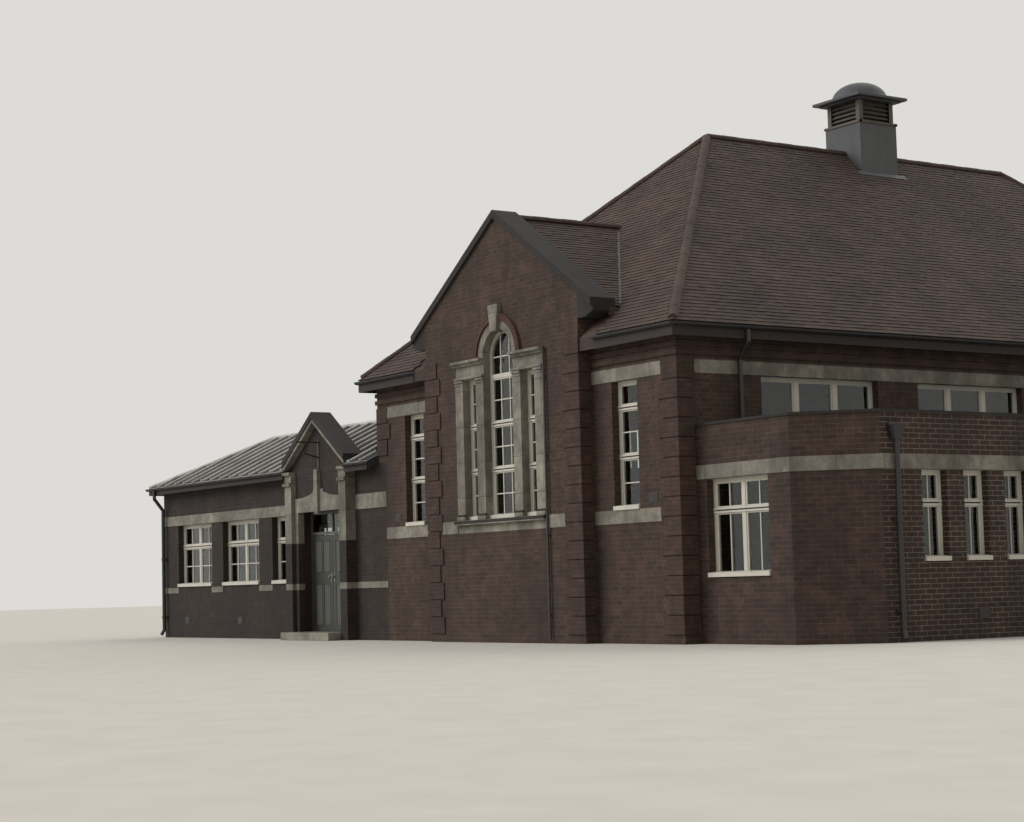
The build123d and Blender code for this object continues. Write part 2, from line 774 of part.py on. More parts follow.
# Sashes and glass: each set of openings has its wall plane, its rails, its columns and the posts between them
window_sets = [
    (front_plane, INWARD, strip_openings, rail_levels, 1, sash_rail),
    (rear_plane, REARWARD, rear_openings, rail_levels, 1, sash_rail),
    (right_plane, INWARD, clerestory_openings, (), clerestory_lights, clerestory_post),
    (left_plane, REARWARD, left_clerestory, (), clerestory_lights, clerestory_post),
    (front_plane, INWARD, wing_openings, (wing_transom_z,), 2, sash_rail),
    (front_plane, INWARD, [wing_single], (wing_transom_z,), 1, sash_rail),
    (wing_rear_plane, REARWARD, wing_openings, (wing_transom_z,), 2, sash_rail),
    (annex_front_plane, INWARD, [annex_opening], (annex_transom_z,), 2, sash_rail),
    (annex_side_plane, INWARD, annex_lights, (annex_transom_z,), 1, sash_rail),
]
glass_setback = sash_setback + (sash_depth - glass_thickness) / 2
with BuildPart() as window_frames:
    for plane, inward, openings, rails, columns, post in window_sets:
        with BuildSketch(plane.offset(inward * sash_setback)):
            for opening in openings:
                box_profile(*opening)
                for pane in panes(*opening, rails, columns, post):
                    box_profile(*pane, mode=Mode.SUBTRACT)
        extrude(amount=inward * sash_depth)
finish(window_frames, "window_frames")
with BuildPart() as window_glass:
    for plane, inward, openings, rails, columns, post in window_sets:
        with BuildSketch(plane.offset(inward * glass_setback)):
            for opening in openings:
                for pane in panes(*opening, rails, columns, post):
                    box_profile(*pane)
        extrude(amount=inward * glass_thickness)
finish(window_glass, "window_glass")

# Sashes and glass of the bay window; the middle light ends in a round-headed pane
arch_pane_half = centre_light_half - sash_member
arch_pane_foot = entablature_z + sash_rail / 2
centre_panes = panes(
    -centre_light_half, centre_light_half, light_sill_z, entablature_z - sash_rail / 2 + sash_member,
    rail_levels,
)
bay_panes = [pane for opening in side_lights for pane in panes(*opening, rail_levels)] + centre_panes
with BuildPart() as bay_window_frames:
    with BuildSketch(bay_plane.offset(-sash_setback)):
        for opening in side_lights:
            box_profile(*opening)
        box_profile(-centre_light_half, centre_light_half, light_sill_z, springing_z)
        with Locations((0, springing_z)):
            Circle(centre_light_half)
        Polygon(*keystone, mode=Mode.SUBTRACT)
        for pane in bay_panes:
            box_profile(*pane, mode=Mode.SUBTRACT)
        with BuildLine():
            Polyline(
                (arch_pane_half, springing_z), (arch_pane_half, arch_pane_foot),
                (-arch_pane_half, arch_pane_foot), (-arch_pane_half, springing_z),
            )
            ThreePointArc(
                (-arch_pane_half, springing_z), (0, springing_z + arch_pane_half),
                (arch_pane_half, springing_z),
            )
        make_face(mode=Mode.SUBTRACT)
    extrude(amount=INWARD * sash_depth)
finish(bay_window_frames, "bay_window_frames")
with BuildPart() as bay_window_glass:
    with BuildSketch(bay_plane.offset(-glass_setback)):
        for pane in bay_panes:
            box_profile(*pane)
        with BuildLine():
            Polyline(
                (arch_pane_half, springing_z), (arch_pane_half, arch_pane_foot),
                (-arch_pane_half, arch_pane_foot), (-arch_pane_half, springing_z),
            )
            ThreePointArc(
                (-arch_pane_half, springing_z), (0, springing_z + arch_pane_half),
                (arch_pane_half, springing_z),
            )
        make_face()
    extrude(amount=INWARD * glass_thickness)
finish(bay_window_glass, "bay_window_glass")

# Entrance: brick piers on both sides, with stone blocks, caps and upper shafts, under a raking cornice
porch_plane = Plane(origin=(-porch_centre, porch_face, 0), x_dir=(1, 0, 0), z_dir=(0, -1, 0))
pilaster_inner = porch_half - pilaster_width
jamb_inner = pilaster_inner - jamb_strip


def pier_plan(side, inner_edge):
    """Plan of a pier: the pilaster, and the jamb strip stepped back beside the doorway where there is one."""
    step, recess = side * pilaster_inner, porch_face + lintel_setback
    points = [(side * porch_half, 0), (side * porch_half, porch_face), (step, porch_face)]
    if inner_edge < pilaster_inner:
        points += [(step, recess), (side * inner_edge, recess), (side * inner_edge, 0)]
    else:
        points.append((step, 0))
    Polygon(*[(x - porch_centre, y) for x, y in points])


with BuildPart() as porch_piers:
    for low, high in ((0, wing_sill_band_z), (sill_band_top, pier_stone_z)):
        with BuildSketch(Plane.XY.offset(low)):
            for side in (-1, 1):
                pier_plan(side, jamb_inner)
        extrude(amount=high - low)
finish(porch_piers, "porch_piers")
with BuildPart() as porch_pilasters:
    for low, high, inner_edge in (
        (wing_sill_band_z, sill_band_top, jamb_inner), (pier_stone_z, door_head_z, jamb_inner),
        (door_head_z, wing_wall_top, pilaster_inner),
    ):
        with BuildSketch(Plane.XY.offset(low)):
            for side in (-1, 1):
                pier_plan(side, inner_edge)
        extrude(amount=high - low)
    for side in (-1, 1):
        for level in (cap_z, wing_wall_top - cap_height):
            edges = sorted((side * pilaster_inner, side * porch_coping_half))
            with BuildSketch(porch_plane.offset(cap_proud)):
                box_profile(edges[0], edges[1], level, level + cap_height)
            extrude(amount=INWARD * (porch_projection + cap_proud))
finish(porch_pilasters, "porch_pilasters")

# Lintel with swept shoulders that end in volutes, and a tall console cut from the same stone
shoulder_top_z = lintel_top_z + shoulder_rise
shoulder_run = pilaster_inner - console_half
shoulder = [
    (console_half + shoulder_run * step / shoulder_steps,
     lintel_top_z + shoulder_rise * (1 - step / shoulder_steps) ** 3)
    for step in range(shoulder_steps + 1)
]


def lintel_face():
    """Face of the lintel: a beam, its two swept shoulders and a volute at the head of each."""
    Polygon(
        *[(-x, z) for x, z in reversed(shoulder)], *shoulder, (pilaster_inner, door_head_z),
        (-pilaster_inner, door_head_z),
    )
    with Locations(*[
        (side * (console_half + 2 * volute_radius), shoulder_top_z - volute_radius) for side in (-1, 1)
    ]):
        Circle(volute_radius)


with BuildPart() as porch_lintel:
    with BuildSketch(porch_plane.offset(-lintel_setback)):
        lintel_face()
    extrude(amount=INWARD * (porch_projection - lintel_setback))
    with BuildSketch(porch_plane.offset(console_proud - lintel_setback)):
        box_profile(-console_half, console_half, console_foot_z, console_top_z)
    extrude(amount=INWARD * (console_proud + tympanum_setback - lintel_setback))
finish(porch_lintel, "porch_lintel")

# Brick gable over the door: the wall behind the lintel, the tympanum and the parapet gable above
gable_depth = porch_gable_back - tympanum_face
gable_edge_z = porch_under_apex - porch_half * porch_slope
with BuildPart() as porch_gable_wall:
    with BuildSketch(porch_plane.offset(-porch_projection)):
        box_profile(-door_half, door_half, door_head_z, wing_wall_top)
    extrude(amount=INWARD * wall)
    with BuildSketch(porch_plane.offset(-tympanum_setback)):
        box_profile(-pilaster_inner, pilaster_inner, door_head_z, wing_wall_top)
    extrude(amount=INWARD * (porch_projection - tympanum_setback))
    with BuildSketch(porch_plane.offset(-tympanum_setback)):
        Polygon(
            (-porch_half, wing_wall_top), (porch_half, wing_wall_top), (porch_half, gable_edge_z),
            (0, porch_under_apex), (-porch_half, gable_edge_z),
        )
    extrude(amount=INWARD * gable_depth)
    with BuildSketch(porch_plane):
        lintel_face()
    extrude(amount=INWARD * porch_projection, mode=Mode.SUBTRACT)
finish(porch_gable_wall, "porch_gable_wall")

# Coping of the porch gable, with its raking cornice below the front edge
with BuildPart() as porch_coping:
    with BuildSketch(porch_plane.offset(porch_coping_front)):
        Polygon(*chevron(porch_coping_half, porch_coping_foot_z, porch_apex_z, porch_coping_thickness))
    extrude(amount=INWARD * porch_coping_depth)
finish(porch_coping, "porch_coping")
with BuildPart() as porch_rake:
    with BuildSketch(porch_plane.offset(rake_proud)):
        Polygon(*chevron(porch_half, gable_edge_z, porch_under_apex, rake_thickness))
    extrude(amount=INWARD * (rake_proud + tympanum_setback))
finish(porch_rake, "porch_raking_cornice")

# Iron bracket over the console: a back plate, a straight arm and a shorter arm below it, all of square bar
with BuildPart() as porch_bracket:
    with BuildSketch(porch_plane.offset(-tympanum_setback)):
        box_profile(-bracket_bar * 2, bracket_bar * 2, console_top_z, bracket_z + bracket_bar * 3)
    extrude(amount=bracket_bar)
    with BuildSketch(Plane.YZ.offset(-porch_centre - bracket_bar)):
        arm = (tympanum_face - bracket_reach, tympanum_face)
        box_profile(*arm, bracket_z - bracket_bar, bracket_z + bracket_bar)
        Polygon(
            (tympanum_face, bracket_arm_z), (tympanum_face, bracket_arm_z + 2 * bracket_bar),
            (tympanum_face - bracket_arm_reach, bracket_arm_z + bracket_arm_rise + 2 * bracket_bar),
            (tympanum_face - bracket_arm_reach, bracket_arm_z + bracket_arm_rise),
        )
    extrude(amount=2 * bracket_bar)
finish(porch_bracket, "porch_bracket")

# Doorstep, carried through the thickness of the wall
with BuildPart() as door_step:
    with BuildSketch():
        for half, near, far in (
            (pilaster_inner, porch_face - step_reach, porch_face + lintel_setback),
            (jamb_inner, porch_face + lintel_setback, 0),
        ):
            box_profile(-porch_centre - half, -porch_centre + half, near, far)
        box_profile(-porch_centre - door_half, -porch_centre + door_half, 0, wall)
    extrude(amount=floor_top)
finish(door_step, "door_step")

# Door frame with its transom and the knuckles that carry the leaves
door_plane = Plane(origin=(-porch_centre, door_face, 0), x_dir=(1, 0, 0), z_dir=(0, -1, 0))
leaf_outer = door_half - jamb - leaf_gap
leaf_inner = leaf_gap / 2
leaf_foot = floor_top + leaf_gap
leaf_top = transom_z - leaf_gap
pin_x = leaf_outer + leaf_gap / 2
pin_y = door_back + knuckle_radius + 1


def knuckles(side, low, high, reach):
    """Hinge knuckles on one edge of the doorway, each with a flap that reaches to one side of the pin."""
    middle = (Align.CENTER, Align.CENTER, Align.MIN)
    flap_y = (door_back + pin_y) / 2
    for level in knuckle_levels:
        with Locations((-porch_centre + side * pin_x, pin_y, level + low)):
            Cylinder(knuckle_radius, high - low, align=middle)
        with Locations((-porch_centre + side * (pin_x + reach / 2), flap_y, level + low)):
            Box(abs(reach), pin_y - door_back, high - low, align=middle)


with BuildPart() as door_frame:
    with BuildSketch(door_plane):
        box_profile(-door_half, door_half, floor_top, door_head_z)
        box_profile(-door_half + jamb, door_half - jamb, floor_top, transom_z, mode=Mode.SUBTRACT)
        for pane in panes(-door_half, door_half, transom_z, door_head_z, (), 2, jamb, jamb):
            box_profile(*pane, mode=Mode.SUBTRACT)
    extrude(amount=INWARD * leaf_thickness)
    for side in (-1, 1):
        knuckles(side, 0, knuckle_length / 2, jamb)
finish(door_frame, "door_frame")

with BuildPart() as fanlight_glass:
    with BuildSketch(door_plane.offset(-(leaf_thickness - glass_thickness) / 2)):
        for pane in panes(-door_half, door_half, transom_z, door_head_z, (), 2, jamb, jamb):
            box_profile(*pane)
    extrude(amount=INWARD * glass_thickness)
finish(fanlight_glass, "fanlight_glass")

# The two leaves, each with a row of sunk panels above and below the lock rail
for side, name in ((-1, "door_leaf_left"), (1, "door_leaf_right")):
    edges = sorted((side * leaf_inner, side * leaf_outer))
    with BuildPart() as leaf:
        with BuildSketch(door_plane):
            box_profile(edges[0], edges[1], leaf_foot, leaf_top)
        extrude(amount=INWARD * leaf_thickness)
        panel_sets = (
            panes(edges[0], edges[1], leaf_foot, mid_rail_z, (), 2, leaf_stile / 2, leaf_stile)
            + panes(edges[0], edges[1], mid_rail_z, leaf_top, (), 2, leaf_stile / 2, leaf_stile)
        )
        for plane, inward in ((door_plane, INWARD), (door_plane.offset(-leaf_thickness), REARWARD)):
            with BuildSketch(plane):
                for panel in panel_sets:
                    box_profile(*panel)
            extrude(amount=inward * panel_recess, mode=Mode.SUBTRACT)
        knuckles(side, knuckle_length / 2 + knuckle_gap, knuckle_length, -jamb)
    finish(leaf, name)

# Louvred ventilator astride the ridge, with a domed lead cap
base_edge_z = hall_ridge_z - cupola_base_half * hall_rise
with BuildPart() as cupola_base:
    with BuildSketch(Plane.XZ.offset(-cupola_y - cupola_base_half)):
        Polygon(
            (-cupola_base_half, base_edge_z), (0, hall_ridge_z), (cupola_base_half, base_edge_z),
            (cupola_base_half, cupola_base_top), (-cupola_base_half, cupola_base_top),
        )
    extrude(amount=2 * cupola_base_half)
finish(cupola_base, "cupola_base")

# Louvres: sloping slats on all four faces between corner posts
slat_pitch = cupola_louvre_height / cupola_slats
cupola_louvre_top = cupola_base_top + cupola_louvre_height
slat_inner = 2 * (cupola_half - cupola_slat_run)
with BuildPart() as cupola_louvres:
    for slat in range(cupola_slats):
        foot = cupola_base_top + slat * slat_pitch
        for drop, mode in ((0, Mode.ADD), (-cupola_slat, Mode.SUBTRACT)):
            with BuildSketch(Plane.XY.offset(foot + drop)):
                with Locations((0, cupola_y)):
                    Rectangle(2 * cupola_half, 2 * cupola_half)
            extrude(amount=slat_pitch, taper=45, mode=mode)
    with BuildSketch(Plane.XY.offset(cupola_base_top)):
        with Locations((0, cupola_y)):
            Rectangle(slat_inner, slat_inner)
    extrude(amount=cupola_louvre_height, mode=Mode.SUBTRACT)
    with BuildSketch(Plane.XY.offset(cupola_base_top)):
        with Locations((0, cupola_y)):
            with GridLocations(2 * cupola_half - cupola_post, 2 * cupola_half - cupola_post, 2, 2):
                Rectangle(cupola_post, cupola_post)
    extrude(amount=cupola_louvre_height)
finish(cupola_louvres, "cupola_louvres")

dome_foot_z = cupola_louvre_top + cupola_cornice_height
dome_turns = [radians(90 * step / dome_steps) for step in range(dome_steps)]
with BuildPart() as cupola_dome:
    with BuildSketch(Plane.XY.offset(cupola_louvre_top)):
        with Locations((0, cupola_y)):
            Rectangle(2 * cupola_cornice_half, 2 * cupola_cornice_half)
    extrude(amount=cupola_cornice_height)
    for lower, upper in zip(dome_turns, dome_turns[1:]):
        rise = cupola_dome_height * (sin(upper) - sin(lower))
        with BuildSketch(Plane.XY.offset(dome_foot_z + cupola_dome_height * sin(lower))):
            with Locations((0, cupola_y)):
                RegularPolygon(cupola_dome_radius * cos(lower), dome_sides, major_radius=False)
        extrude(amount=rise, taper=degrees(atan2(cupola_dome_radius * (cos(lower) - cos(upper)), rise)))
finish(cupola_dome, "cupola_dome")

# Gutters: troughs outside the eaves, open above, stopped where a gable comes through
gutter_floor = gutter - gutter_drop
with BuildPart() as gutters:
    for level, x0, x1, y0, y1 in (
        (hall_eaves_z, -eave_half, eave_half, -overhang, hall_length + overhang),
        (wing_eaves_z, -wing_left - overhang, -hall_half, -overhang, wing_depth + overhang),
    ):
        for inset, low, high, mode in (
            (gutter, level - gutter_floor, level + gutter_drop, Mode.ADD),
            (gutter - gutter_wall, level - gutter_floor + gutter_wall, level + gutter_drop, Mode.SUBTRACT),
            (0, level - gutter, level + gutter, Mode.SUBTRACT),
        ):
            with BuildSketch(Plane.XY.offset(low)):
                box_profile(x0 - inset, x1 + inset, y0 - inset, y1 + inset)
            extrude(amount=high - low, mode=mode)
    for x0, x1, low, y0 in (
        (-bay_coping_half, bay_coping_half, wing_eaves_z, -eave_half),
        (-porch_centre - porch_coping_half, -porch_centre + porch_coping_half, 0, -eave_half),
    ):
        with BuildSketch(Plane.XY.offset(low)):
            box_profile(x0, x1, y0, 0)
        extrude(amount=hall_ridge_z, mode=Mode.SUBTRACT)
    with BuildSketch():
        box_profile(-hall_half, hall_half, -eave_half, hall_length - eave_half)
    extrude(amount=hall_eaves_z - gutter, mode=Mode.SUBTRACT)
finish(gutters, "gutters")

# Downpipes: place on the wall face, outward direction, relief behind it, gutter and foot of each
pipe_out = quoin_proud + pipe_stand + pipe_radius
gutter_out = overhang + gutter / 2
pipe_runs = [
    ((hall_half, side_pipe_y), (1, 0), 0, hall_eaves_z, annex_roof_z + pipe_foot),
    ((hall_half - quoin_wide / 2, hall_length), (0, 1), quoin_proud, hall_eaves_z, pipe_foot),
    ((-hall_half + quoin_wide / 2, hall_length), (0, 1), quoin_proud, hall_eaves_z, pipe_foot),
    ((-wing_left + pipe_inset, 0), (0, -1), 0, wing_eaves_z, pipe_foot),
    ((-wing_left + pipe_inset, wing_depth), (0, 1), 0, wing_eaves_z, pipe_foot),
]
with BuildPart() as downpipes:
    for (x, y), (dx, dy), relief, eaves, foot in pipe_runs:
        near = (x + dx * pipe_out, y + dy * pipe_out)
        far = (x + dx * gutter_out, y + dy * gutter_out)
        top = eaves - gutter_floor
        with BuildLine() as run:
            Polyline(
                (*near, foot), (*near, top - neck_height), (*far, top - neck_straight), (*far, top),
            )
        with BuildSketch(Plane.XY.offset(foot)):
            with Locations(near):
                RegularPolygon(pipe_radius, pipe_sides)
        sweep(path=run.line, transition=Transition.RIGHT)
        reach = pipe_out - relief
        lowest = foot + clip_foot - pipe_foot
        for clip in range(int((top - neck_height - lowest) // clip_spacing) + 1):
            with Locations((
                near[0] - dx * reach / 2, near[1] - dy * reach / 2, lowest + clip * clip_spacing,
            )):
                along = abs(dx) * reach + abs(dy) * pipe_radius
                across = abs(dy) * reach + abs(dx) * pipe_radius
                Box(along, across, clip_height)
    # Hopper and pipe on the side of the annex, beside its canted corner
    with Locations((annex_face + pipe_out, annex_corner + hopper_width, pipe_foot)):
        Cylinder(pipe_radius, hopper_z - pipe_foot, align=(Align.CENTER, Align.CENTER, Align.MIN))
    with Locations((annex_face, annex_corner + hopper_width, hopper_z)):
        Box(2 * pipe_out, hopper_width, hopper_height, align=(Align.MIN, Align.CENTER, Align.MIN))
    with Locations((annex_face, annex_corner + hopper_width, clip_foot)):
        Box(pipe_out, pipe_radius, clip_height, align=(Align.MIN, Align.CENTER, Align.MIN))
    # Thin pipe beside the bay window
    with Locations((thin_pipe_x, bay_face - pipe_stand - thin_pipe_radius, pipe_foot)):
        Cylinder(thin_pipe_radius, springing_z - pipe_foot, align=(Align.CENTER, Align.CENTER, Align.MIN))
    for level in range(int(springing_z // clip_spacing) + 1):
        with Locations((thin_pipe_x, bay_face, clip_foot + level * clip_spacing)):
            Box(
                thin_pipe_radius, pipe_stand + thin_pipe_radius, clip_height / 2,
                align=(Align.CENTER, Align.MAX, Align.CENTER),
            )
finish(downpipes, "downpipes")
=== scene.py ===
"""Finishes and small work of a brick hall with a low wing, a canted annex and a louvred ventilator."""
import logging
import random
from dataclasses import dataclass, field
from enum import Enum
from math import atan2, ceil, cos, pi, radians, sin, tan

import bmesh
import bpy
from mathutils import Matrix, Vector


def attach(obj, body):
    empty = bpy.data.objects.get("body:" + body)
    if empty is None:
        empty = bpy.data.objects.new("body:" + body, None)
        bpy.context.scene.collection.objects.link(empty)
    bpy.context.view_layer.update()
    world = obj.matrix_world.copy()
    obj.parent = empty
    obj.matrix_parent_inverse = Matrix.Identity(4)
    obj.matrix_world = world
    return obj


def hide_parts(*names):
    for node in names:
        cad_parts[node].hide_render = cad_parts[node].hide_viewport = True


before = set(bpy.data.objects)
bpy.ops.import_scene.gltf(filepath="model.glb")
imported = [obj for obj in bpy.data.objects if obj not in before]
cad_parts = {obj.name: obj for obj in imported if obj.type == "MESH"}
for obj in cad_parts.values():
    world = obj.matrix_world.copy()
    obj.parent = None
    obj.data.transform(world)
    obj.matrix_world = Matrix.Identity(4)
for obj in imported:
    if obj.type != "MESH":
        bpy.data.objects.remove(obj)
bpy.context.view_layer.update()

LOG = logging.getLogger("hall")
SOCKET = bpy.types.NodeSocket
UP = Vector((0, 0, 1))


@dataclass(frozen=True)
class Plan:
    """Driving sizes and places of the building, in metres and degrees.

    Attributes:
        hall_half: Half the width of the hall over its walls.
        hall_rear: Rear face of the hall.
        hall_eave: Height of the hall's eaves.
        hall_pitch: Slope of the hall roof.
        ridge: Height of the hall's ridge.
        overhang: How far the eaves of hall and wing stand out.
        bay_face: Front face of the bay.
        bay_half: Half the width of the bay roof.
        bay_apex: Height of the bay's ridge.
        wing_left: Left face of the wing.
        wing_rear: Rear face of the wing.
        wing_eave: Height of the wing's eaves.
        wing_pitch: Slope of the wing roof.
        porch: Left and right edge of the porch gable.
        annex_front: Front face of the annex.
        annex_side: Right face of the annex.
    """
    hall_half: float = 4.525
    hall_rear: float = 16.8
    hall_eave: float = 4.87
    hall_pitch: float = 41.6
    ridge: float = 9.10
    overhang: float = 0.24
    bay_face: float = -0.25
    bay_half: float = 2.76
    bay_apex: float = 7.22
    wing_left: float = -14.2
    wing_rear: float = 3.72
    wing_eave: float = 3.36
    wing_pitch: float = 26.0
    porch: tuple[float, float] = (-7.92, -5.40)
    annex_front: float = 0.33
    annex_side: float = 7.555


PLAN = Plan()


def linear(code: str) -> tuple[float, float, float, float]:
    """Turn an sRGB hex colour into linear light.

    Args:
        code: Six hex digits.

    Returns:
        Linear red, green, blue and an alpha of one.
    """
    channels = [int(code[index:index + 2], 16) / 255 for index in (0, 2, 4)]
    return (*[c / 12.92 if c <= 0.04045 else ((c + 0.055) / 1.055) ** 2.4 for c in channels], 1.0)


def node(tree: bpy.types.NodeTree, kind: str, inputs: dict | None = None, **settings) -> bpy.types.Node:
    """Add a node with its settings and links.

    Args:
        tree: The node tree of the material.
        kind: Blender's name for the node type.
        inputs: Values or sockets by input name or number.
        settings: Properties of the node.

    Returns:
        The new node.
    """
    made = tree.nodes.new(kind)
    for name, value in settings.items():
        setattr(made, name, value)
    for name, value in (inputs or {}).items():
        if isinstance(value, SOCKET):
            tree.links.new(value, made.inputs[name])
        else:
            made.inputs[name].default_value = value
    return made


class Bond(Enum):
    """How the bricks of a wall are laid: the width of the bricks in every second course, as a share."""
    ENGLISH = 0.5
    STRETCHER = 1.0


@dataclass(frozen=True)
class Finish:
    """A finish with one colour and a faint unevenness.

    Attributes:
        name: The real finish.
        colour: Its colour in sRGB hex.
        roughness: How matt it is.
        metallic: One for bare metal.
        grain: Size of its unevenness in metres.
        depth: Height of that unevenness in metres.
        stain: Colour of its dirt in sRGB hex, or nothing.
        amount: How much of it the dirt covers.
    """
    name: str
    colour: str
    roughness: float = 0.6
    metallic: float = 0.0
    grain: float = 0.02
    depth: float = 0.0005
    stain: str = ""
    amount: float = 0.4

    def tint(self, tree: bpy.types.NodeTree, place: SOCKET) -> SOCKET:
        """Build the colour of the clean finish.

        Args:
            tree: The node tree of the material.
            place: Object coordinates.

        Returns:
            A colour socket.
        """
        spots = node(tree, "ShaderNodeTexNoise", {"Vector": place, "Scale": 1.7, "Detail": 4.0})
        tone = node(tree, "ShaderNodeMapRange", {"Value": spots.outputs["Fac"], 3: 0.9, 4: 1.1})
        return node(tree, "ShaderNodeVectorMath", {0: linear(self.colour)[:3], "Scale": tone.outputs[0]},
                    operation="SCALE").outputs[0]

    def relief(self, tree: bpy.types.NodeTree, place: SOCKET) -> SOCKET:
        """Build the height of the surface in metres.

        Args:
            tree: The node tree of the material.
            place: Object coordinates.

        Returns:
            A height socket.
        """
        fine = node(tree, "ShaderNodeTexNoise", {"Vector": place, "Scale": 1 / self.grain, "Detail": 3.0})
        return node(tree, "ShaderNodeMath", {0: fine.outputs["Fac"], 1: self.depth},
                    operation="MULTIPLY").outputs[0]

    def dirt(self, tree: bpy.types.NodeTree, place: SOCKET, colour: SOCKET) -> SOCKET:
        """Lay runs of dirt over a colour.

        Args:
            tree: The node tree of the material.
            place: Object coordinates.
            colour: The clean colour.

        Returns:
            A colour socket.
        """
        if not self.stain:
            return colour
        drawn = node(tree, "ShaderNodeVectorMath", {0: place, 1: (1.0, 1.0, 0.35)}, operation="MULTIPLY")
        cloud = node(tree, "ShaderNodeTexNoise",
                     {"Vector": drawn.outputs[0], "Scale": 1.3, "Detail": 8.0, "Roughness": 0.62})
        cover = node(tree, "ShaderNodeMapRange",
                     {"Value": cloud.outputs["Fac"], 1: 0.42, 2: 0.68, 3: 0.0, 4: self.amount})
        return node(tree, "ShaderNodeMix", {0: cover.outputs[0], 6: colour, 7: linear(self.stain)},
                    data_type="RGBA").outputs[2]

    def build(self) -> bpy.types.Material:
        """Make the material.

        Returns:
            The new material.
        """
        material = bpy.data.materials.new(self.name)
        material.use_nodes = True
        tree = material.node_tree
        shader = tree.nodes["Principled BSDF"]
        place = node(tree, "ShaderNodeTexCoord").outputs["Object"]
        tree.links.new(self.dirt(tree, place, self.tint(tree, place)), shader.inputs["Base Color"])
        bump = node(tree, "ShaderNodeBump",
                    {"Height": self.relief(tree, place), "Strength": 1.0, "Distance": 1.0})
        tree.links.new(bump.outputs[0], shader.inputs["Normal"])
        shader.inputs["Roughness"].default_value = self.roughness
        shader.inputs["Metallic"].default_value = self.metallic
        return material


@dataclass(frozen=True, kw_only=True)
class Brickwork(Finish):
    """Units laid in courses, such as bricks, blocks or boards, with joints between them.

    Attributes:
        second: The other colour of the units in sRGB hex.
        mortar: Colour of the joints in sRGB hex.
        bond: How the courses are laid.
        length: Length of a unit and a joint in metres.
        course: Height of a unit and a joint in metres.
        joint: Width of a joint in metres.
        sunk: How far the joints lie behind the faces in metres.
    """
    second: str
    mortar: str
    bond: Bond = Bond.ENGLISH
    length: float = 0.225
    course: float = 0.075
    joint: float = 0.010
    sunk: float = 0.004

    def courses(self, tree: bpy.types.NodeTree, place: SOCKET) -> bpy.types.Node:
        """Lay the courses along a wall and up it, or flat where the face is level.

        Args:
            tree: The node tree of the material.
            place: Object coordinates.

        Returns:
            The brick texture node.
        """
        point = node(tree, "ShaderNodeSeparateXYZ", {0: place})
        facing = node(tree, "ShaderNodeSeparateXYZ", {0: tree.nodes["Texture Coordinate"].outputs["Normal"]})
        across = node(tree, "ShaderNodeMath", {0: point.outputs[0], 1: facing.outputs[1]}, operation="MULTIPLY")
        along = node(tree, "ShaderNodeMath", {0: point.outputs[1], 1: facing.outputs[0]}, operation="MULTIPLY")
        run = node(tree, "ShaderNodeMath", {0: along.outputs[0], 1: across.outputs[0]}, operation="SUBTRACT")
        wall = node(tree, "ShaderNodeCombineXYZ", {0: run.outputs[0], 1: point.outputs[2]})
        height = node(tree, "ShaderNodeMath", {0: facing.outputs[2]}, operation="ABSOLUTE")
        level = node(tree, "ShaderNodeMath", {0: height.outputs[0], 1: 0.9}, operation="GREATER_THAN")
        spread = node(tree, "ShaderNodeMix", {0: level.outputs[0], 4: wall.outputs[0], 5: place},
                      data_type="VECTOR")
        return node(tree, "ShaderNodeTexBrick", {
            "Vector": spread.outputs[1], "Color1": linear(self.colour), "Color2": linear(self.second),
            "Mortar": linear(self.mortar), "Scale": 1.0, "Mortar Size": self.joint / 2, "Mortar Smooth": 0.2,
            "Bias": 0.0, "Brick Width": self.length, "Row Height": self.course,
        }, squash=self.bond.value)

    def tint(self, tree: bpy.types.NodeTree, place: SOCKET) -> SOCKET:
        """Build the colours of the units and their joints.

        Args:
            tree: The node tree of the material.
            place: Object coordinates.

        Returns:
            A colour socket.
        """
        laid = self.courses(tree, place)
        patch = node(tree, "ShaderNodeTexNoise",
                     {"Vector": place, "Scale": 5.0, "Detail": 7.0, "Roughness": 0.65})
        tone = node(tree, "ShaderNodeMapRange",
                    {"Value": patch.outputs["Fac"], 1: 0.3, 2: 0.7, 3: 0.6, 4: 1.4})
        return node(tree, "ShaderNodeVectorMath", {0: laid.outputs["Color"], "Scale": tone.outputs[0]},
                    operation="SCALE").outputs[0]

    def relief(self, tree: bpy.types.NodeTree, place: SOCKET) -> SOCKET:
        """Sink the joints below the faces of the units.

        Args:
            tree: The node tree of the material.
            place: Object coordinates.

        Returns:
            A height socket.
        """
        joints = tree.nodes["Brick Texture"].outputs["Fac"]
        rough = super().relief(tree, place)
        return node(tree, "ShaderNodeMath", {0: joints, 1: -self.sunk, 2: rough},
                    operation="MULTIPLY_ADD").outputs[0]


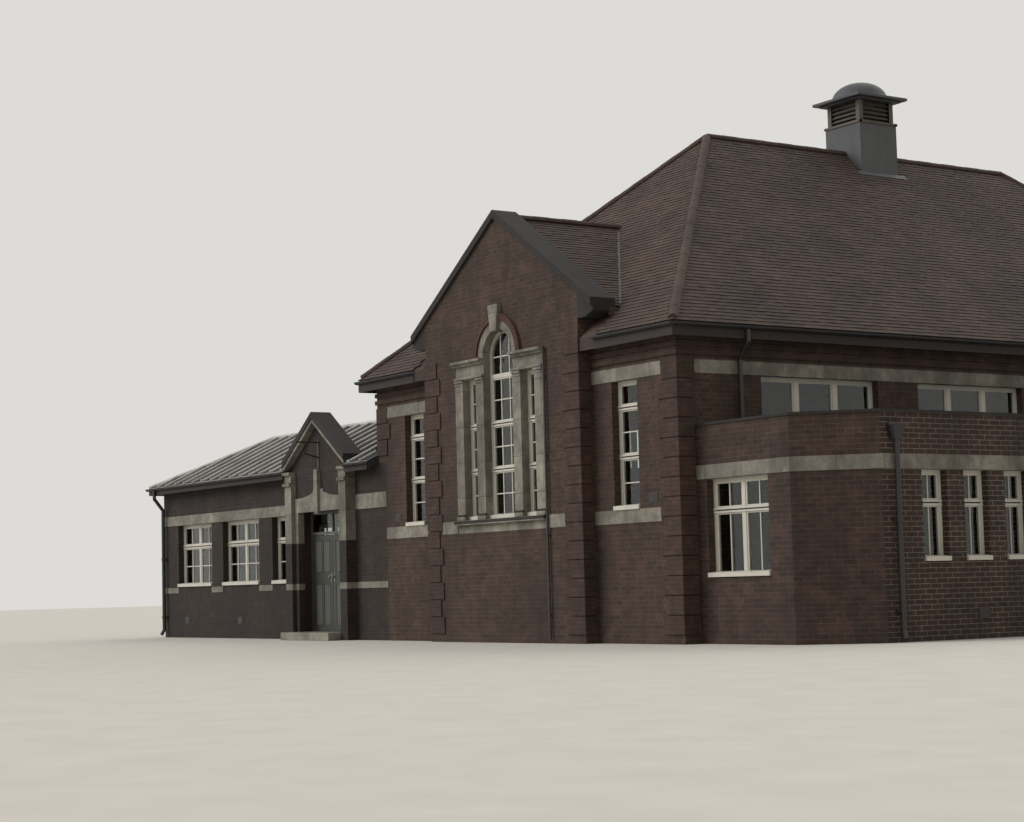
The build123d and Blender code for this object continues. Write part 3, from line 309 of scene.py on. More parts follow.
@dataclass(frozen=True, kw_only=True)
class Tilework(Finish):
    """Fired clay whose tiles each have a tone of their own, with painted shade on the edges that face down.

    Attributes:
        second: The other colour in sRGB hex.
        edge: Colour of the painted shade on the edges that face down, in sRGB hex.
    """
    second: str
    edge: str = "0f0d0c"

    def tint(self, tree: bpy.types.NodeTree, place: SOCKET) -> SOCKET:
        """Give each loose piece of the mesh its own tone, and paint shade on the faces that look down.

        Args:
            tree: The node tree of the material.
            place: Object coordinates.

        Returns:
            A colour socket.
        """
        own = node(tree, "ShaderNodeNewGeometry").outputs["Random Per Island"]
        patch = node(tree, "ShaderNodeTexNoise", {"Vector": place, "Scale": 0.8, "Detail": 6.0})
        share = node(tree, "ShaderNodeMath", {0: own, 1: 0.6, 2: patch.outputs["Fac"]},
                     operation="MULTIPLY_ADD")
        level = node(tree, "ShaderNodeMath", {0: share.outputs[0], 1: 0.25}, operation="SUBTRACT",
                     use_clamp=True)
        face = node(tree, "ShaderNodeMix",
                    {0: level.outputs[0], 6: linear(self.colour), 7: linear(self.second)}, data_type="RGBA")
        # Painted shade: faces that look down take the dark edge colour.
        facing = node(tree, "ShaderNodeSeparateXYZ", {0: tree.nodes["Texture Coordinate"].outputs["Normal"]})
        under = node(tree, "ShaderNodeMath", {0: facing.outputs[2], 1: -0.1}, operation="LESS_THAN")
        return node(tree, "ShaderNodeMix", {0: under.outputs[0], 6: face.outputs[2], 7: linear(self.edge)},
                    data_type="RGBA").outputs[2]


@dataclass(frozen=True)
class Glazing(Finish):
    """Clear sheet glass."""

    def build(self) -> bpy.types.Material:
        """Make the material of the glass.

        Returns:
            The new material.
        """
        material = bpy.data.materials.new(self.name)
        material.use_nodes = True
        shader = material.node_tree.nodes["Principled BSDF"]
        shader.inputs["Base Color"].default_value = linear(self.colour)
        shader.inputs["Roughness"].default_value = self.roughness
        shader.inputs["Transmission Weight"].default_value = 1.0
        shader.inputs["IOR"].default_value = 1.45
        return material


class Palette(Enum):
    """The finishes of the building."""
    # Machine-pressed red brick, dark with soot, in mortar that has gone nearly as dark
    BRICK = Brickwork("weathered_red_brick", "4a342c", 0.92, grain=0.004, depth=0.0012, stain="1d1715",
                      amount=0.55, second="37291f", mortar="574c43")
    # The same brick on the wing, the sootiest, and darker still as painted shade under the wing's eaves
    WING_BRICK = Brickwork("sooty_red_brick_with_painted_shade", "33271f", 0.92, grain=0.004, depth=0.0012, stain="161211",
                           amount=0.7, second="261e1a", mortar="3e352f")
    # The same brick in half-brick walls, laid in stretchers
    ANNEX_BRICK = Brickwork("red_brick_stretcher_bond", "46322b", 0.92, grain=0.004, depth=0.0012,
                            stain="1b1614", amount=0.55, second="342721", mortar="554a41",
                            bond=Bond.STRETCHER)
    # Common brick of the annex side, repointed in paler mortar
    COMMON_BRICK = Brickwork("repointed_common_brick", "402e27", 0.92, grain=0.004, depth=0.0012,
                             stain="1b1614", amount=0.5, second="33241f", mortar="7a7165",
                             bond=Bond.STRETCHER, joint=0.012)
    # Fine-jointed facing brick of quoins and string courses
    DRESSING_BRICK = Brickwork("rubbed_brick_dressing", "4a342c", 0.9, grain=0.004, depth=0.0008,
                               stain="1a1513", amount=0.5, second="3a2a22", mortar="2a2320", joint=0.005)
    # Single rubbed bricks of the arch, each cut to its own wedge, with painted shade on the faces that look down
    ARCH_BRICK = Tilework("gauged_arch_brick", "5b3b30", 0.9, grain=0.004, depth=0.0008, stain="1a1513",
                          amount=0.4, second="3f2a23", edge="2b201b")
    # Lime mortar behind the arch bricks
    MORTAR = Finish("lime_mortar", "5a4f45", 0.95, grain=0.003, depth=0.0008, stain="2a2420", amount=0.5)
    # Sawn buff sandstone gone grey, in blocks with fine joints
    STONE = Brickwork("weathered_sandstone_ashlar", "8d877b", 0.88, grain=0.006, depth=0.0012,
                      stain="45413a", amount=0.75, second="78736a", mortar="3a3732", bond=Bond.STRETCHER,
                      length=0.86, course=0.62, joint=0.006)
    # Sandstone coping blackened by rain and soot; the same dark also paints shade in strips at the bay's sill
    # and pilaster bases
    COPING_AND_SHADE = Finish("blackened_stone_coping_and_painted_shade", "2b2926", 0.9, grain=0.01, depth=0.002, stain="121110", amount=0.6)
    # Hand-made plain clay tiles, dark with age, with painted shade on the butts that face down
    TILE = Tilework("plain_clay_tile", "5a473e", 0.88, grain=0.012, depth=0.0008, stain="211c19", amount=0.6,
                    second="3a2d27")
    # Half-round ridge tiles of the same clay, bedded in mortar
    RIDGE = Finish("half_round_ridge_tile", "4b3b34", 0.88, grain=0.012, depth=0.0012, stain="2a221e",
                   amount=0.6)
    # Zinc sheet that has gone dull, darkened further as painted shade between the rolls
    ZINC = Finish("patinated_zinc_sheet_with_painted_shade", "434444", 0.55, 0.5, grain=0.15, depth=0.002, stain="39393a",
                  amount=0.6)
    # The cappings of the rolls, paler than the sheet as a painted highlight of the lit rolls
    ZINC_CAP_HIGHLIGHT = Finish("zinc_capping_painted_highlight", "c2c0b9", 0.5, 0.2, grain=0.08, depth=0.0006, stain="6a6a68",
                      amount=0.5)
    # Deal floor boards, worn and dusty
    BOARDS = Brickwork("worn_floor_boards", "6b5340", 0.7, grain=0.02, depth=0.0004, stain="3a2e25",
                       amount=0.4, second="59442f", mortar="241c16", bond=Bond.STRETCHER, length=2.4,
                       course=0.13, joint=0.004)
    # Milled lead, matt grey with pale runs
    LEAD = Finish("weathered_sheet_lead", "454649", 0.62, 0.3, grain=0.08, depth=0.003, stain="636463",
                  amount=0.5)
    # Oil paint on softwood, yellowed and rain-streaked
    PAINT = Finish("white_oil_paint", "cbc7ba", 0.45, grain=0.03, depth=0.0002, stain="8b8679", amount=0.35)
    # Painted shade, with some old putty, in the gap between two sashes
    SASH_GAP_SHADE = Finish("sash_gap_painted_shade", "35322d", 0.9, grain=0.01, depth=0.0003)
    # White paint on the louvres, nearly worn off the grey wood
    LOUVRE = Finish("worn_louvre_paint", "625d53", 0.75, grain=0.012, depth=0.0008, stain="3b3732", amount=0.8)
    # Oil paint on the stiles of the door
    DOOR_PAINT = Finish("grey_door_paint", "3b3c38", 0.5, grain=0.05, depth=0.0003, stain="22251f", amount=0.6)
    # The same paint on the panels and the frame of the door, bleached by the sun
    DOOR_PANEL = Finish("bleached_door_paint", "575852", 0.55, grain=0.03, depth=0.0004, stain="41453c",
                        amount=0.6)
    # Sheet glass, nearly clear
    GLASS = Glazing("sheet_glass", "dfe8e6", 0.0)
    # Cast iron under grey-black paint
    IRON = Finish("black_painted_iron", "232324", 0.45, grain=0.01, depth=0.0004, stain="4a3c32", amount=0.3)
    # Cast-iron gutters under old black paint that has gone chalky
    GUTTER = Finish("chalked_gutter_paint", "272828", 0.6, grain=0.01, depth=0.0004, stain="1b1b1c",
                    amount=0.6)
    # Eaves boards, brown-black, dark as painted shade under the gutters
    DARK_EAVES_BOARD = Finish("eaves_board_painted_shade", "2a221e", 0.8, grain=0.02, depth=0.0006)
    # Iron that hands have rubbed bright
    BRIGHT_IRON = Finish("hand_worn_iron", "7f7a71", 0.4, 0.7, grain=0.01, depth=0.0002)


MADE: dict[Palette, bpy.types.Material] = {}


def finish(kind: Palette) -> bpy.types.Material:
    """Give the material of a finish, made the first time it is asked for.

    Args:
        kind: Which finish.

    Returns:
        Its material.
    """
    if kind not in MADE:
        MADE[kind] = kind.value.build()
    return MADE[kind]


@dataclass
class Work:
    """Something built of several pieces on one body.

    Attributes:
        body: The CAD body that carries it.
        nodes: CAD nodes with their finishes.
        pieces: Names of the pieces made so far.
    """
    body: str = "building"
    nodes: dict[str, Palette] = field(default_factory=dict)
    pieces: list[str] = field(default_factory=list)

    def dress(self) -> None:
        """Give the CAD nodes their finishes."""
        for name, kind in self.nodes.items():
            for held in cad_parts[name].material_slots:
                held.material = finish(kind)

    def piece(self, name: str, mesh: bmesh.types.BMesh, kind: Palette, slot: str, body: str = "",
              replaced: tuple[str, ...] = ()) -> bpy.types.Object:
        """Turn a finished bmesh into a piece that rides on a body.

        Args:
            name: Name of the piece.
            mesh: Its shape, in place.
            kind: Its finish.
            slot: The material slot of the record that it belongs to; not used.
            body: The body, where it isn't the one of the whole work.
            replaced: CAD nodes that it stands for.

        Returns:
            The new object.
        """
        data = bpy.data.meshes.new(name)
        mesh.to_mesh(data)
        mesh.free()
        made = bpy.data.objects.new(name, data)
        bpy.context.scene.collection.objects.link(made)
        data.materials.append(finish(kind))
        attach(made, body or self.body)
        if replaced:
            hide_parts(*replaced)
        self.pieces.append(name)
        return made

    def report(self) -> None:
        """Log each piece."""
        for name in self.pieces:
            LOG.info("%s: %s", type(self).__name__, name)


def block(mesh: bmesh.types.BMesh, low: tuple, high: tuple, place: Matrix | None = None) -> list:
    """Add a block between two corners.

    Args:
        mesh: The bmesh it joins.
        low: Lowest corner.
        high: Highest corner.
        place: Where the block's own frame stands, or nothing.

    Returns:
        The new vertices.
    """
    middle = (Vector(low) + Vector(high)) / 2
    size = Vector(high) - Vector(low)
    shape = Matrix.Translation(middle) @ Matrix.Diagonal((*size, 1))
    return bmesh.ops.create_cube(mesh, size=1, matrix=(place or Matrix()) @ shape)["verts"]


def along(start: Vector, ahead: Vector) -> Matrix:
    """Stand a frame on a line: X across it, Y along it and Z up from it.

    Args:
        start: Where the frame stands.
        ahead: Direction of the line, of length one.

    Returns:
        The frame.
    """
    across = ahead.cross(UP).normalized()
    return Matrix.Translation(start) @ Matrix((across, ahead, across.cross(ahead))).transposed().to_4x4()


def points_in(made: list) -> list[bmesh.types.BMVert]:
    """Pick the vertices out of what an operator has made."""
    return [part for part in made if isinstance(part, bmesh.types.BMVert)]


def ease(mesh: bmesh.types.BMesh, edges: list, width: float, segments: int = 1) -> None:
    """Take the sharpness off some edges.

    Args:
        mesh: The bmesh that holds them.
        edges: The edges.
        width: How far the easing reaches on either side of an edge.
        segments: Faces across it.
    """
    bmesh.ops.bevel(mesh, geom=edges, offset=width, segments=segments, profile=0.5, material=-1,
                    affect="EDGES")


def tube(mesh: bmesh.types.BMesh, path: list[Vector], radius: float, sides: int) -> None:
    """Draw a round bar along straight runs, mitred where they meet.

    Args:
        mesh: The bmesh that it joins.
        path: Ends and corners of the runs.
        radius: Radius of the bar.
        sides: Faces round it.
    """
    ways = [(end - start).normalized() for start, end in zip(path, path[1:])]
    turn = ways[0].to_track_quat("Z", "Y").to_matrix().to_4x4()
    ring = bmesh.ops.create_circle(mesh, segments=sides, radius=radius,
                                   matrix=Matrix.Translation(path[0]) @ turn)
    edges = list({edge for vertex in ring["verts"] for edge in vertex.link_edges})
    bmesh.ops.contextual_create(mesh, geom=edges)
    for index, way in enumerate(ways):
        plane = (way + ways[index + 1]).normalized() if index + 1 < len(ways) else way
        made = bmesh.ops.extrude_edge_only(mesh, edges=edges)["geom"]
        for vertex in points_in(made):
            vertex.co += way * ((path[index + 1] - vertex.co).dot(plane) / way.dot(plane))
        edges = [part for part in made if isinstance(part, bmesh.types.BMEdge)]
    bmesh.ops.contextual_create(mesh, geom=edges)


@dataclass
class Walls(Work):
    """The CAD nodes of the building and their finishes."""
    nodes: dict[str, Palette] = field(default_factory=lambda: {
        **dict.fromkeys(("hall_floor", "wing_floor", "annex_floor"), Palette.BOARDS),
        **dict.fromkeys(("hall_front_wall", "hall_rear_wall", "hall_right_wall", "hall_left_wall",
                         "hall_base_walls", "bay_wall"), Palette.BRICK),
        **dict.fromkeys(("wing_front_wall", "wing_link_wall", "wing_rear_wall", "wing_left_wall",
                         "porch_gable_wall", "porch_piers"), Palette.WING_BRICK),
        **dict.fromkeys(("annex_front_wall", "annex_corner_walls"), Palette.ANNEX_BRICK),
        **dict.fromkeys(("annex_side_wall", "annex_rear_wall"), Palette.COMMON_BRICK),
        **dict.fromkeys(("string_courses", "quoins"), Palette.DRESSING_BRICK),
        "bay_hood": Palette.MORTAR,
        **dict.fromkeys(("stone_bands", "venetian_surround", "porch_pilasters", "porch_lintel", "door_step",
                         "porch_raking_cornice"), Palette.STONE),
        **dict.fromkeys(("bay_coping", "porch_coping"), Palette.COPING_AND_SHADE),
        **dict.fromkeys(("window_frames", "bay_window_frames"), Palette.PAINT),
        **dict.fromkeys(("window_glass", "bay_window_glass", "fanlight_glass"), Palette.GLASS),
        **dict.fromkeys(("door_leaf_left", "door_leaf_right"), Palette.DOOR_PAINT),
        "porch_bracket": Palette.IRON,
        "door_frame": Palette.DOOR_PANEL,
        **dict.fromkeys(("cupola_base", "annex_roof"), Palette.LEAD),
        "cupola_louvres": Palette.LOUVRE,
        **dict.fromkeys(("wing_roof_front", "wing_roof_rear", "wing_roof_hip"), Palette.ZINC),
        **dict.fromkeys(("hall_roof_right", "hall_roof_left", "hall_roof_front", "hall_roof_rear",
                         "bay_roof"), Palette.TILE),
    })


@dataclass
class TiledRoof(Work):
    """Plain clay tiles on the hall roof and the bay roof.

    Attributes:
        eave_half: Half the width between the eaves.
        eave_z: Height of the eave.
        pitch: Slope in degrees.
        eave_front: Where the front eave lies along the building.
        eave_rear: Where the rear eave lies.
        tile: Width of a tile.
        gauge: Visible length of a tile.
        thickness: Thickness of a tile.
        gap: Gap between two tiles.
        lap: Drawn length of a tile as a share of its gauge.
        kick: How far the foot of a tile stands up on the course below.
        lift: The most that a tile lies proud of its neighbours.
        bay_rise: Height of the bay roof over its foot.
        bay_back: Where the bay roof starts, behind the gable coping.
        bay_reach: How far back its tiles are laid before they are cut.
    """
    eave_half: float = PLAN.hall_half + PLAN.overhang
    eave_z: float = PLAN.hall_eave
    pitch: float = PLAN.hall_pitch
    eave_front: float = -PLAN.overhang
    eave_rear: float = PLAN.hall_rear + PLAN.overhang
    tile: float = 0.165
    gauge: float = 0.100
    thickness: float = 0.017
    gap: float = 0.003
    lap: float = 1.15
    kick: float = 0.011
    lift: float = 0.004
    bay_rise: float = 1.86
    bay_back: float = 0.2
    bay_reach: float = 4.0

    def unit(self) -> bpy.types.Mesh:
        """Make one tile: its face, its front edge and its sides.

        Returns:
            A mesh with the tile's foot on the origin, running up Y.
        """
        shape = bmesh.new()
        block(shape, (0, 0, 0), (self.tile - self.gap, self.gauge * self.lap, self.thickness))
        for vertex in shape.verts:
            if vertex.co.y < self.gauge / 2:
                vertex.co.z += self.kick
        hidden = [face for face in shape.faces if face.normal.z < -0.5 or face.normal.y > 0.5]
        bmesh.ops.delete(shape, geom=hidden, context="FACES_ONLY")
        made = bpy.data.meshes.new("tile_unit")
        shape.to_mesh(made)
        shape.free()
        return made

    def lay(self, place: Matrix, width: float, rise: float, cuts: list[tuple[Vector, Vector]],
            seed: int) -> bmesh.types.BMesh:
        """Tile a slope in courses and cut it at its edges.

        Args:
            place: Frame of the slope: X along the eave, Y up the slope, Z outwards.
            width: Length of the eave.
            rise: Length of the slope.
            cuts: Point and outward direction of each cutting plane, in the building's frame.
            seed: Start of the random lifts.

        Returns:
            The tiles as one bmesh.
        """
        chance = random.Random(seed)
        unit = self.unit()
        whole = bmesh.new()
        for course in range(ceil(rise / self.gauge)):
            shift = (course % 2) * self.tile / 2
            for column in range(-1, ceil(width / self.tile) + 1):
                x, y = column * self.tile + shift, course * self.gauge
                corner = place @ Vector((x + self.tile / 2, y + self.gauge / 2, 0))
                if any((corner - point).dot(outward) > self.tile for point, outward in cuts):
                    chance.random()
                    continue
                lift = chance.random() * self.lift
                copy = unit.copy()
                copy.transform(place @ Matrix.Translation((x, y, lift)))
                whole.from_mesh(copy)
                bpy.data.meshes.remove(copy)
        bpy.data.meshes.remove(unit)
        for point, outward in cuts:
            bmesh.ops.bisect_plane(whole, geom=whole.verts[:] + whole.edges[:] + whole.faces[:],
                                   plane_co=point, plane_no=outward, clear_outer=True)
        return whole

    def hall_slopes(self) -> None:
        """Tile the four slopes of the hall."""
        slope = radians(self.pitch)
        rise = self.eave_half / cos(slope)
        long_side, short_side = self.eave_rear - self.eave_front, 2 * self.eave_half
        corners = {
            "right": (self.eave_half, self.eave_front, 90, long_side),
            "rear": (self.eave_half, self.eave_rear, 180, short_side),
            "left": (-self.eave_half, self.eave_rear, 270, long_side),
            "front": (-self.eave_half, self.eave_front, 0, short_side),
        }
        for number, (name, (x, y, turn, width)) in enumerate(corners.items()):
            corner = Matrix.Translation((x, y, self.eave_z)) @ Matrix.Rotation(radians(turn), 4, "Z")
            cuts = [(corner @ Vector((end, 0, 0)), corner.to_3x3() @ Vector((sign, 1, 0)).normalized())
                    for end, sign in ((0, -1), (width, 1))]
            tiles = self.lay(corner @ Matrix.Rotation(slope, 4, "X"), width, rise, cuts, number)
            if name == "front":
                self.open_for_bay(tiles)
            self.piece(f"hall_tiles_{name}", tiles, Palette.TILE, "clay_tile")

    def open_for_bay(self, tiles: bmesh.types.BMesh) -> None:
        """Take away the tiles that lie under the bay roof.

        Args:
            tiles: The tiles of the front slope.
        """
        fall, margin = self.bay_rise / PLAN.bay_half, 0.02
        covered = []
        for face in tiles.faces:
            middle = face.calc_center_median()
            aside = abs(middle.x)
            if middle.z < PLAN.bay_apex - aside * fall - margin and aside < PLAN.bay_half:
                covered.append(face)
        bmesh.ops.delete(tiles, geom=covered, context="FACES")

    def bay_slopes(self) -> None:
        """Tile the two slopes of the bay roof back to the hall."""
        slope = atan2(self.bay_rise, PLAN.bay_half)
        rise = PLAN.bay_half / cos(slope)
        hip = Vector((0, -sin(radians(self.pitch)), cos(radians(self.pitch))))
        foot_z = PLAN.bay_apex - self.bay_rise
        for side, name in ((1, "right"), (-1, "left")):
            start = self.bay_back if side > 0 else self.bay_reach
            foot = Matrix.Translation((side * PLAN.bay_half, start, foot_z))
            place = foot @ Matrix.Rotation(radians(90 * side), 4, "Z") @ Matrix.Rotation(slope, 4, "X")
            cuts = [
                (Vector((0, self.eave_front, self.eave_z)), -hip),
                (Vector((0, self.bay_back, 0)), Vector((0, -1, 0))),
                (Vector((0, 0, 0)), Vector((-side, 0, 0))),
            ]
            tiles = self.lay(place, self.bay_reach - self.bay_back, rise, cuts, 10 + side)
            self.piece(f"bay_tiles_{name}", tiles, Palette.TILE, "clay_tile")

    def build(self) -> None:
        """Make every slope."""
        self.hall_slopes()
        self.bay_slopes()


@dataclass(frozen=True)
class Wall:
    """A wall face seen from outside: X runs to the right, Y into the wall and Z up.

    Attributes:
        x: Where its own frame starts.
        y: The same along the building.
        turn: Its turn from the street front, in degrees.
    """
    x: float = 0.0
    y: float = 0.0
    turn: float = 0.0

    def place(self) -> Matrix:
        """Give the frame of the face."""
        return Matrix.Translation((self.x, self.y, 0)) @ Matrix.Rotation(radians(self.turn), 4, "Z")


class Face(Enum):
    """The wall faces that hold windows or air bricks."""
    FRONT = Wall()
    BAY = Wall(y=PLAN.bay_face)
    REAR = Wall(y=PLAN.hall_rear, turn=180)
    RIGHT = Wall(x=PLAN.hall_half, turn=90)
    LEFT = Wall(x=-PLAN.hall_half, turn=270)
    WING_REAR = Wall(y=PLAN.wing_rear, turn=180)
    ANNEX_FRONT = Wall(y=PLAN.annex_front)
    ANNEX_SIDE = Wall(x=PLAN.annex_side, turn=90)


@dataclass(frozen=True)
class Window:
    """A window opening, its fixed frame and the thin bars of its panes.

    Attributes:
        face: The wall face.
        span: Left and right edge of the opening.
        rise: Foot and head of the opening.
        rails: Heights of the rails.
        columns: How many lights stand side by side.
        post: Width of the posts between them.
        bars: Upright and level bars of a pane, row by row from the foot.
        border: Width of the fixed frame round the opening.
        half_rail: Half the height of a rail.
    """
    face: Face
    span: tuple[float, float]
    rise: tuple[float, float]
    rails: tuple[float, ...] = ()
    columns: int = 1
    post: float = 0.07
    bars: tuple[tuple[int, int], ...] = ((0, 0),)
    border: float = 0.05
    half_rail: float = 0.035

    def panes(self) -> list[tuple]:
        """List the clear panes.

        Returns:
            Left, right, foot, head and the two counts of bars of each pane.
        """
        levels = [self.rise[0] + self.border]
        for rail in self.rails:
            levels += [rail - self.half_rail, rail + self.half_rail]
        levels.append(self.rise[1] - self.border)
        clear = self.span[1] - self.span[0] - 2 * self.border
        light = (clear - (self.columns - 1) * self.post) / self.columns
        found = []
        for column in range(self.columns):
            left = self.span[0] + self.border + column * (light + self.post)
            for low, high, counts in zip(levels[::2], levels[1::2], self.bars):
                found.append((left, left + light, low, high, counts))
        return found


@dataclass
class Joinery(Work):
    """Sashes, painted shade in the gaps between them, glazing bars, rail mouldings and sills.

    Attributes:
        sash: Width of a sash's own frame.
        bar: Width of a glazing bar.
        front: Depth of the face of the fixed frame behind the wall face.
        glass: Depths of the two faces of the glass.
        reach: How far the inside of a sash lies behind the wall face.
        setback: How far a sash lies behind the face of the fixed frame.
        fillet: Edges of a fillet, measured from the middle of its rail.
        fillet_proud: How far a fillet stands out from the fixed frame.
        sill: Height of a sill.
        sill_proud: How far a sill stands out.
        sill_fall: How far a sill slopes down to its outer edge.
        tall: Foot and head of the tall lights of the hall.
        tall_rails: Heights of their rails.
        high: Foot and head of the clerestory lights.
        low: Foot and head of the low windows of wing and annex.
        low_rail: Height of their rail.
        group: Distance between two groups of lights on the long sides.
        tall_width: Width of a tall light.
        high_span: Left and right edge of the first clerestory group.
        slit: Left edge of the first light of the annex side, its width, and the step to the next.
        slit_foot: Foot of those lights.
        pair_lefts: Left edges of the two-light windows of the wing.
        pair_width: Width of one of them.
        porch_light: Left and right edge of the light beside the porch.
        annex_span: Left and right edge of the window at the annex front.
        annex_foot: Its foot.
        bay_side: Inner and outer edge of a side light of the bay.
        bay_middle: Half the width of its middle light.
        bay_heads: Heads of the side lights and of the middle one.
        arch_bar: Distance of the upright bars from the middle of the arch.
        arch_rise: Foot and head of those bars.
        arch_level: Height of the level bar in the arch.
        arch_reach: Half its length.
    """
    sash: float = 0.028
    bar: float = 0.020
    front: float = 0.130
    glass: tuple[float, float] = (0.162, 0.168)
    reach: float = 0.188
    setback: float = 0.012
    fillet: tuple[float, float] = (0.011, 0.038)
    fillet_proud: float = 0.014
    sill: float = 0.085
    sill_proud: float = 0.035
    sill_fall: float = 0.02
    tall: tuple[float, float] = (2.09, 4.13)
    tall_rails: tuple[float, float] = (2.93, 3.71)
    high: tuple[float, float] = (3.2, 4.13)
    low: tuple[float, float] = (1.12, 2.48)
    low_rail: float = 2.0
    group: float = 3.41
    tall_width: float = 0.66
    high_span: tuple[float, float] = (1.68, 4.18)
    slit: tuple[float, float, float] = (2.04, 0.51, 0.855)
    slit_foot: float = 1.15
    pair_lefts: tuple[float, float] = (-13.45, -11.2)
    pair_width: float = 1.7
    porch_light: tuple[float, float] = (-8.9, -8.05)
    annex_span: tuple[float, float] = (4.75, 6.15)
    annex_foot: float = 1.0
    bay_side: tuple[float, float] = (0.685, 1.095)
    bay_middle: float = 0.445
    bay_heads: tuple[float, float] = (4.53, 4.545)
    arch_bar: float = 0.132
    arch_rise: tuple[float, float] = (4.565, 5.225)
    arch_level: float = 4.86
    arch_reach: float = 0.395

    def windows(self) -> list[Window]:
        """List every window of the building.

        Returns:
            The windows, one kind after another.
        """
        tall_bars, low_bars, upright = ((0, 1), (0, 1), (0, 0)), ((1, 1), (1, 0)), ((1, 0), (1, 0))
        low_rails, foot, head = (self.low_rail,), self.tall[0], self.low[1]
        found = []
        for face, lefts in ((Face.FRONT, (-3.52, 2.86)), (Face.REAR, (-3.52, -2.2, 1.54, 2.86))):
            for left in lefts:
                span = (left, left + self.tall_width)
                found.append(Window(face, span, self.tall, self.tall_rails, bars=tall_bars))
        for number in range(4):
            start, end = (edge + number * self.group for edge in self.high_span)
            found.append(Window(Face.RIGHT, (start, end), self.high, columns=3, post=0.09))
            if number:
                found.append(Window(Face.LEFT, (-end, -start), self.high, columns=3, post=0.09))
            first, width, step = self.slit
            for light in range(3):
                left = first + number * self.group + light * step
                found.append(Window(Face.ANNEX_SIDE, (left, left + width), (self.slit_foot, head), low_rails,
                                    bars=upright))
        for left in self.pair_lefts:
            right = left + self.pair_width
            found.append(Window(Face.FRONT, (left, right), self.low, low_rails, 2, bars=low_bars))
            found.append(Window(Face.WING_REAR, (-right, -left), self.low, low_rails, 2, bars=low_bars))
        found.append(Window(Face.FRONT, self.porch_light, self.low, low_rails, bars=low_bars))
        found.append(Window(Face.ANNEX_FRONT, self.annex_span, (self.annex_foot, head), low_rails, 2,
                            bars=upright))
        near, far = self.bay_side
        side_head, middle_head = self.bay_heads
        for span in ((-far, -near), (near, far)):
            found.append(Window(Face.BAY, span, (foot, side_head), self.tall_rails, bars=((0, 1),) * 3))
        found.append(Window(Face.BAY, (-self.bay_middle, self.bay_middle), (foot, middle_head), self.tall_rails,
                            bars=((2, 1),) * 3))
        return found

    def bars(self, mesh: bmesh.types.BMesh, window: Window) -> None:
        """Set a sash frame and its bars on both sides of each pane.

        Args:
            mesh: The bmesh that they join.
            window: The window.
        """
        place = window.face.value.place()
        for left, right, low, high, (upright, level) in window.panes():
            for near, far in ((self.front + self.setback, self.glass[0]), (self.glass[1], self.reach)):
                for x0, x1, z0, z1 in (
                    (left, left + self.sash, low, high), (right - self.sash, right, low, high),
                    (left + self.sash, right - self.sash, low, low + self.sash),
                    (left + self.sash, right - self.sash, high - self.sash, high),
                ):
                    block(mesh, (x0, near, z0), (x1, far, z1), place)
                for index in range(upright):
                    x = left + (right - left) * (index + 1) / (upright + 1)
                    block(mesh, (x - self.bar / 2, near + 0.004, low), (x + self.bar / 2, far, high), place)
                for index in range(level):
                    z = low + (high - low) * (index + 1) / (level + 1)
                    block(mesh, (left, near + 0.005, z - self.bar / 2), (right, far, z + self.bar / 2), place)

    def mouldings(self, mesh: bmesh.types.BMesh, window: Window) -> None:
        """Lay two fillets on each rail, with a shadow line between them.

        Args:
            mesh: The bmesh that they join.
            window: The window.
        """
        place = window.face.value.place()
        inner, outer = self.fillet
        near = self.front - self.fillet_proud
        for rail in window.rails:
            for low, high in ((rail - outer, rail - inner), (rail + inner, rail + outer)):
                block(mesh, (window.span[0], near, low), (window.span[1], self.front, high), place)

    def gaps(self, mesh: bmesh.types.BMesh, window: Window) -> None:
        """Paint shade as a dark strip into the gap between the two sashes that meet at a rail.

        Args:
            mesh: The bmesh that the gaps join.
            window: The window.
        """
        left, right = window.span[0] + window.border, window.span[1] - window.border
        for rail in window.rails:
            block(mesh, (left, self.front - 0.003, rail - self.fillet[0]),
                  (right, self.front, rail + self.fillet[0]), window.face.value.place())

    def sills(self, mesh: bmesh.types.BMesh, window: Window) -> None:
        """Lay a weathered sill along the foot of a window.

        Args:
            mesh: The bmesh that it joins.
            window: The window.
        """
        foot, place = window.rise[0], window.face.value.place()
        proud = self.sill_proud if window.face is not Face.BAY else -0.05
        made = block(mesh, (window.span[0], -proud, foot), (window.span[1], self.front, foot + self.sill), place)
        outer = sorted(made, key=lambda vertex: (place.inverted() @ vertex.co).y)[:4]
        for vertex in sorted(outer, key=lambda vertex: vertex.co.z)[2:]:
            vertex.co.z -= self.sill_fall

    def arch(self, mesh: bmesh.types.BMesh) -> None:
        """Bar the round-headed pane of the bay window.

        Args:
            mesh: The bmesh that the bars join.
        """
        place = Face.BAY.value.place()
        for near, far in ((self.front + 0.016, self.glass[0]), (self.glass[1], self.reach)):
            for x in (-self.arch_bar, self.arch_bar):
                block(mesh, (x - self.bar / 2, near, self.arch_rise[0]),
                      (x + self.bar / 2, far, self.arch_rise[1]), place)
            block(mesh, (-self.arch_reach, near, self.arch_level - self.bar / 2),
                  (self.arch_reach, far, self.arch_level + self.bar / 2), place)

    def build(self) -> None:
        """Make the joinery of every window."""
        for name, work, kind in (("sash_bars", self.bars, Palette.PAINT),
                                 ("rail_mouldings", self.mouldings, Palette.PAINT),
                                 ("window_sills", self.sills, Palette.PAINT),
                                 ("sash_gap_painted_shade_strips", self.gaps, Palette.SASH_GAP_SHADE)):
            mesh = bmesh.new()
            for window in self.windows():
                work(mesh, window)
            if work == self.bars:
                self.arch(mesh)
            self.piece(name, mesh, kind, "white_joinery")


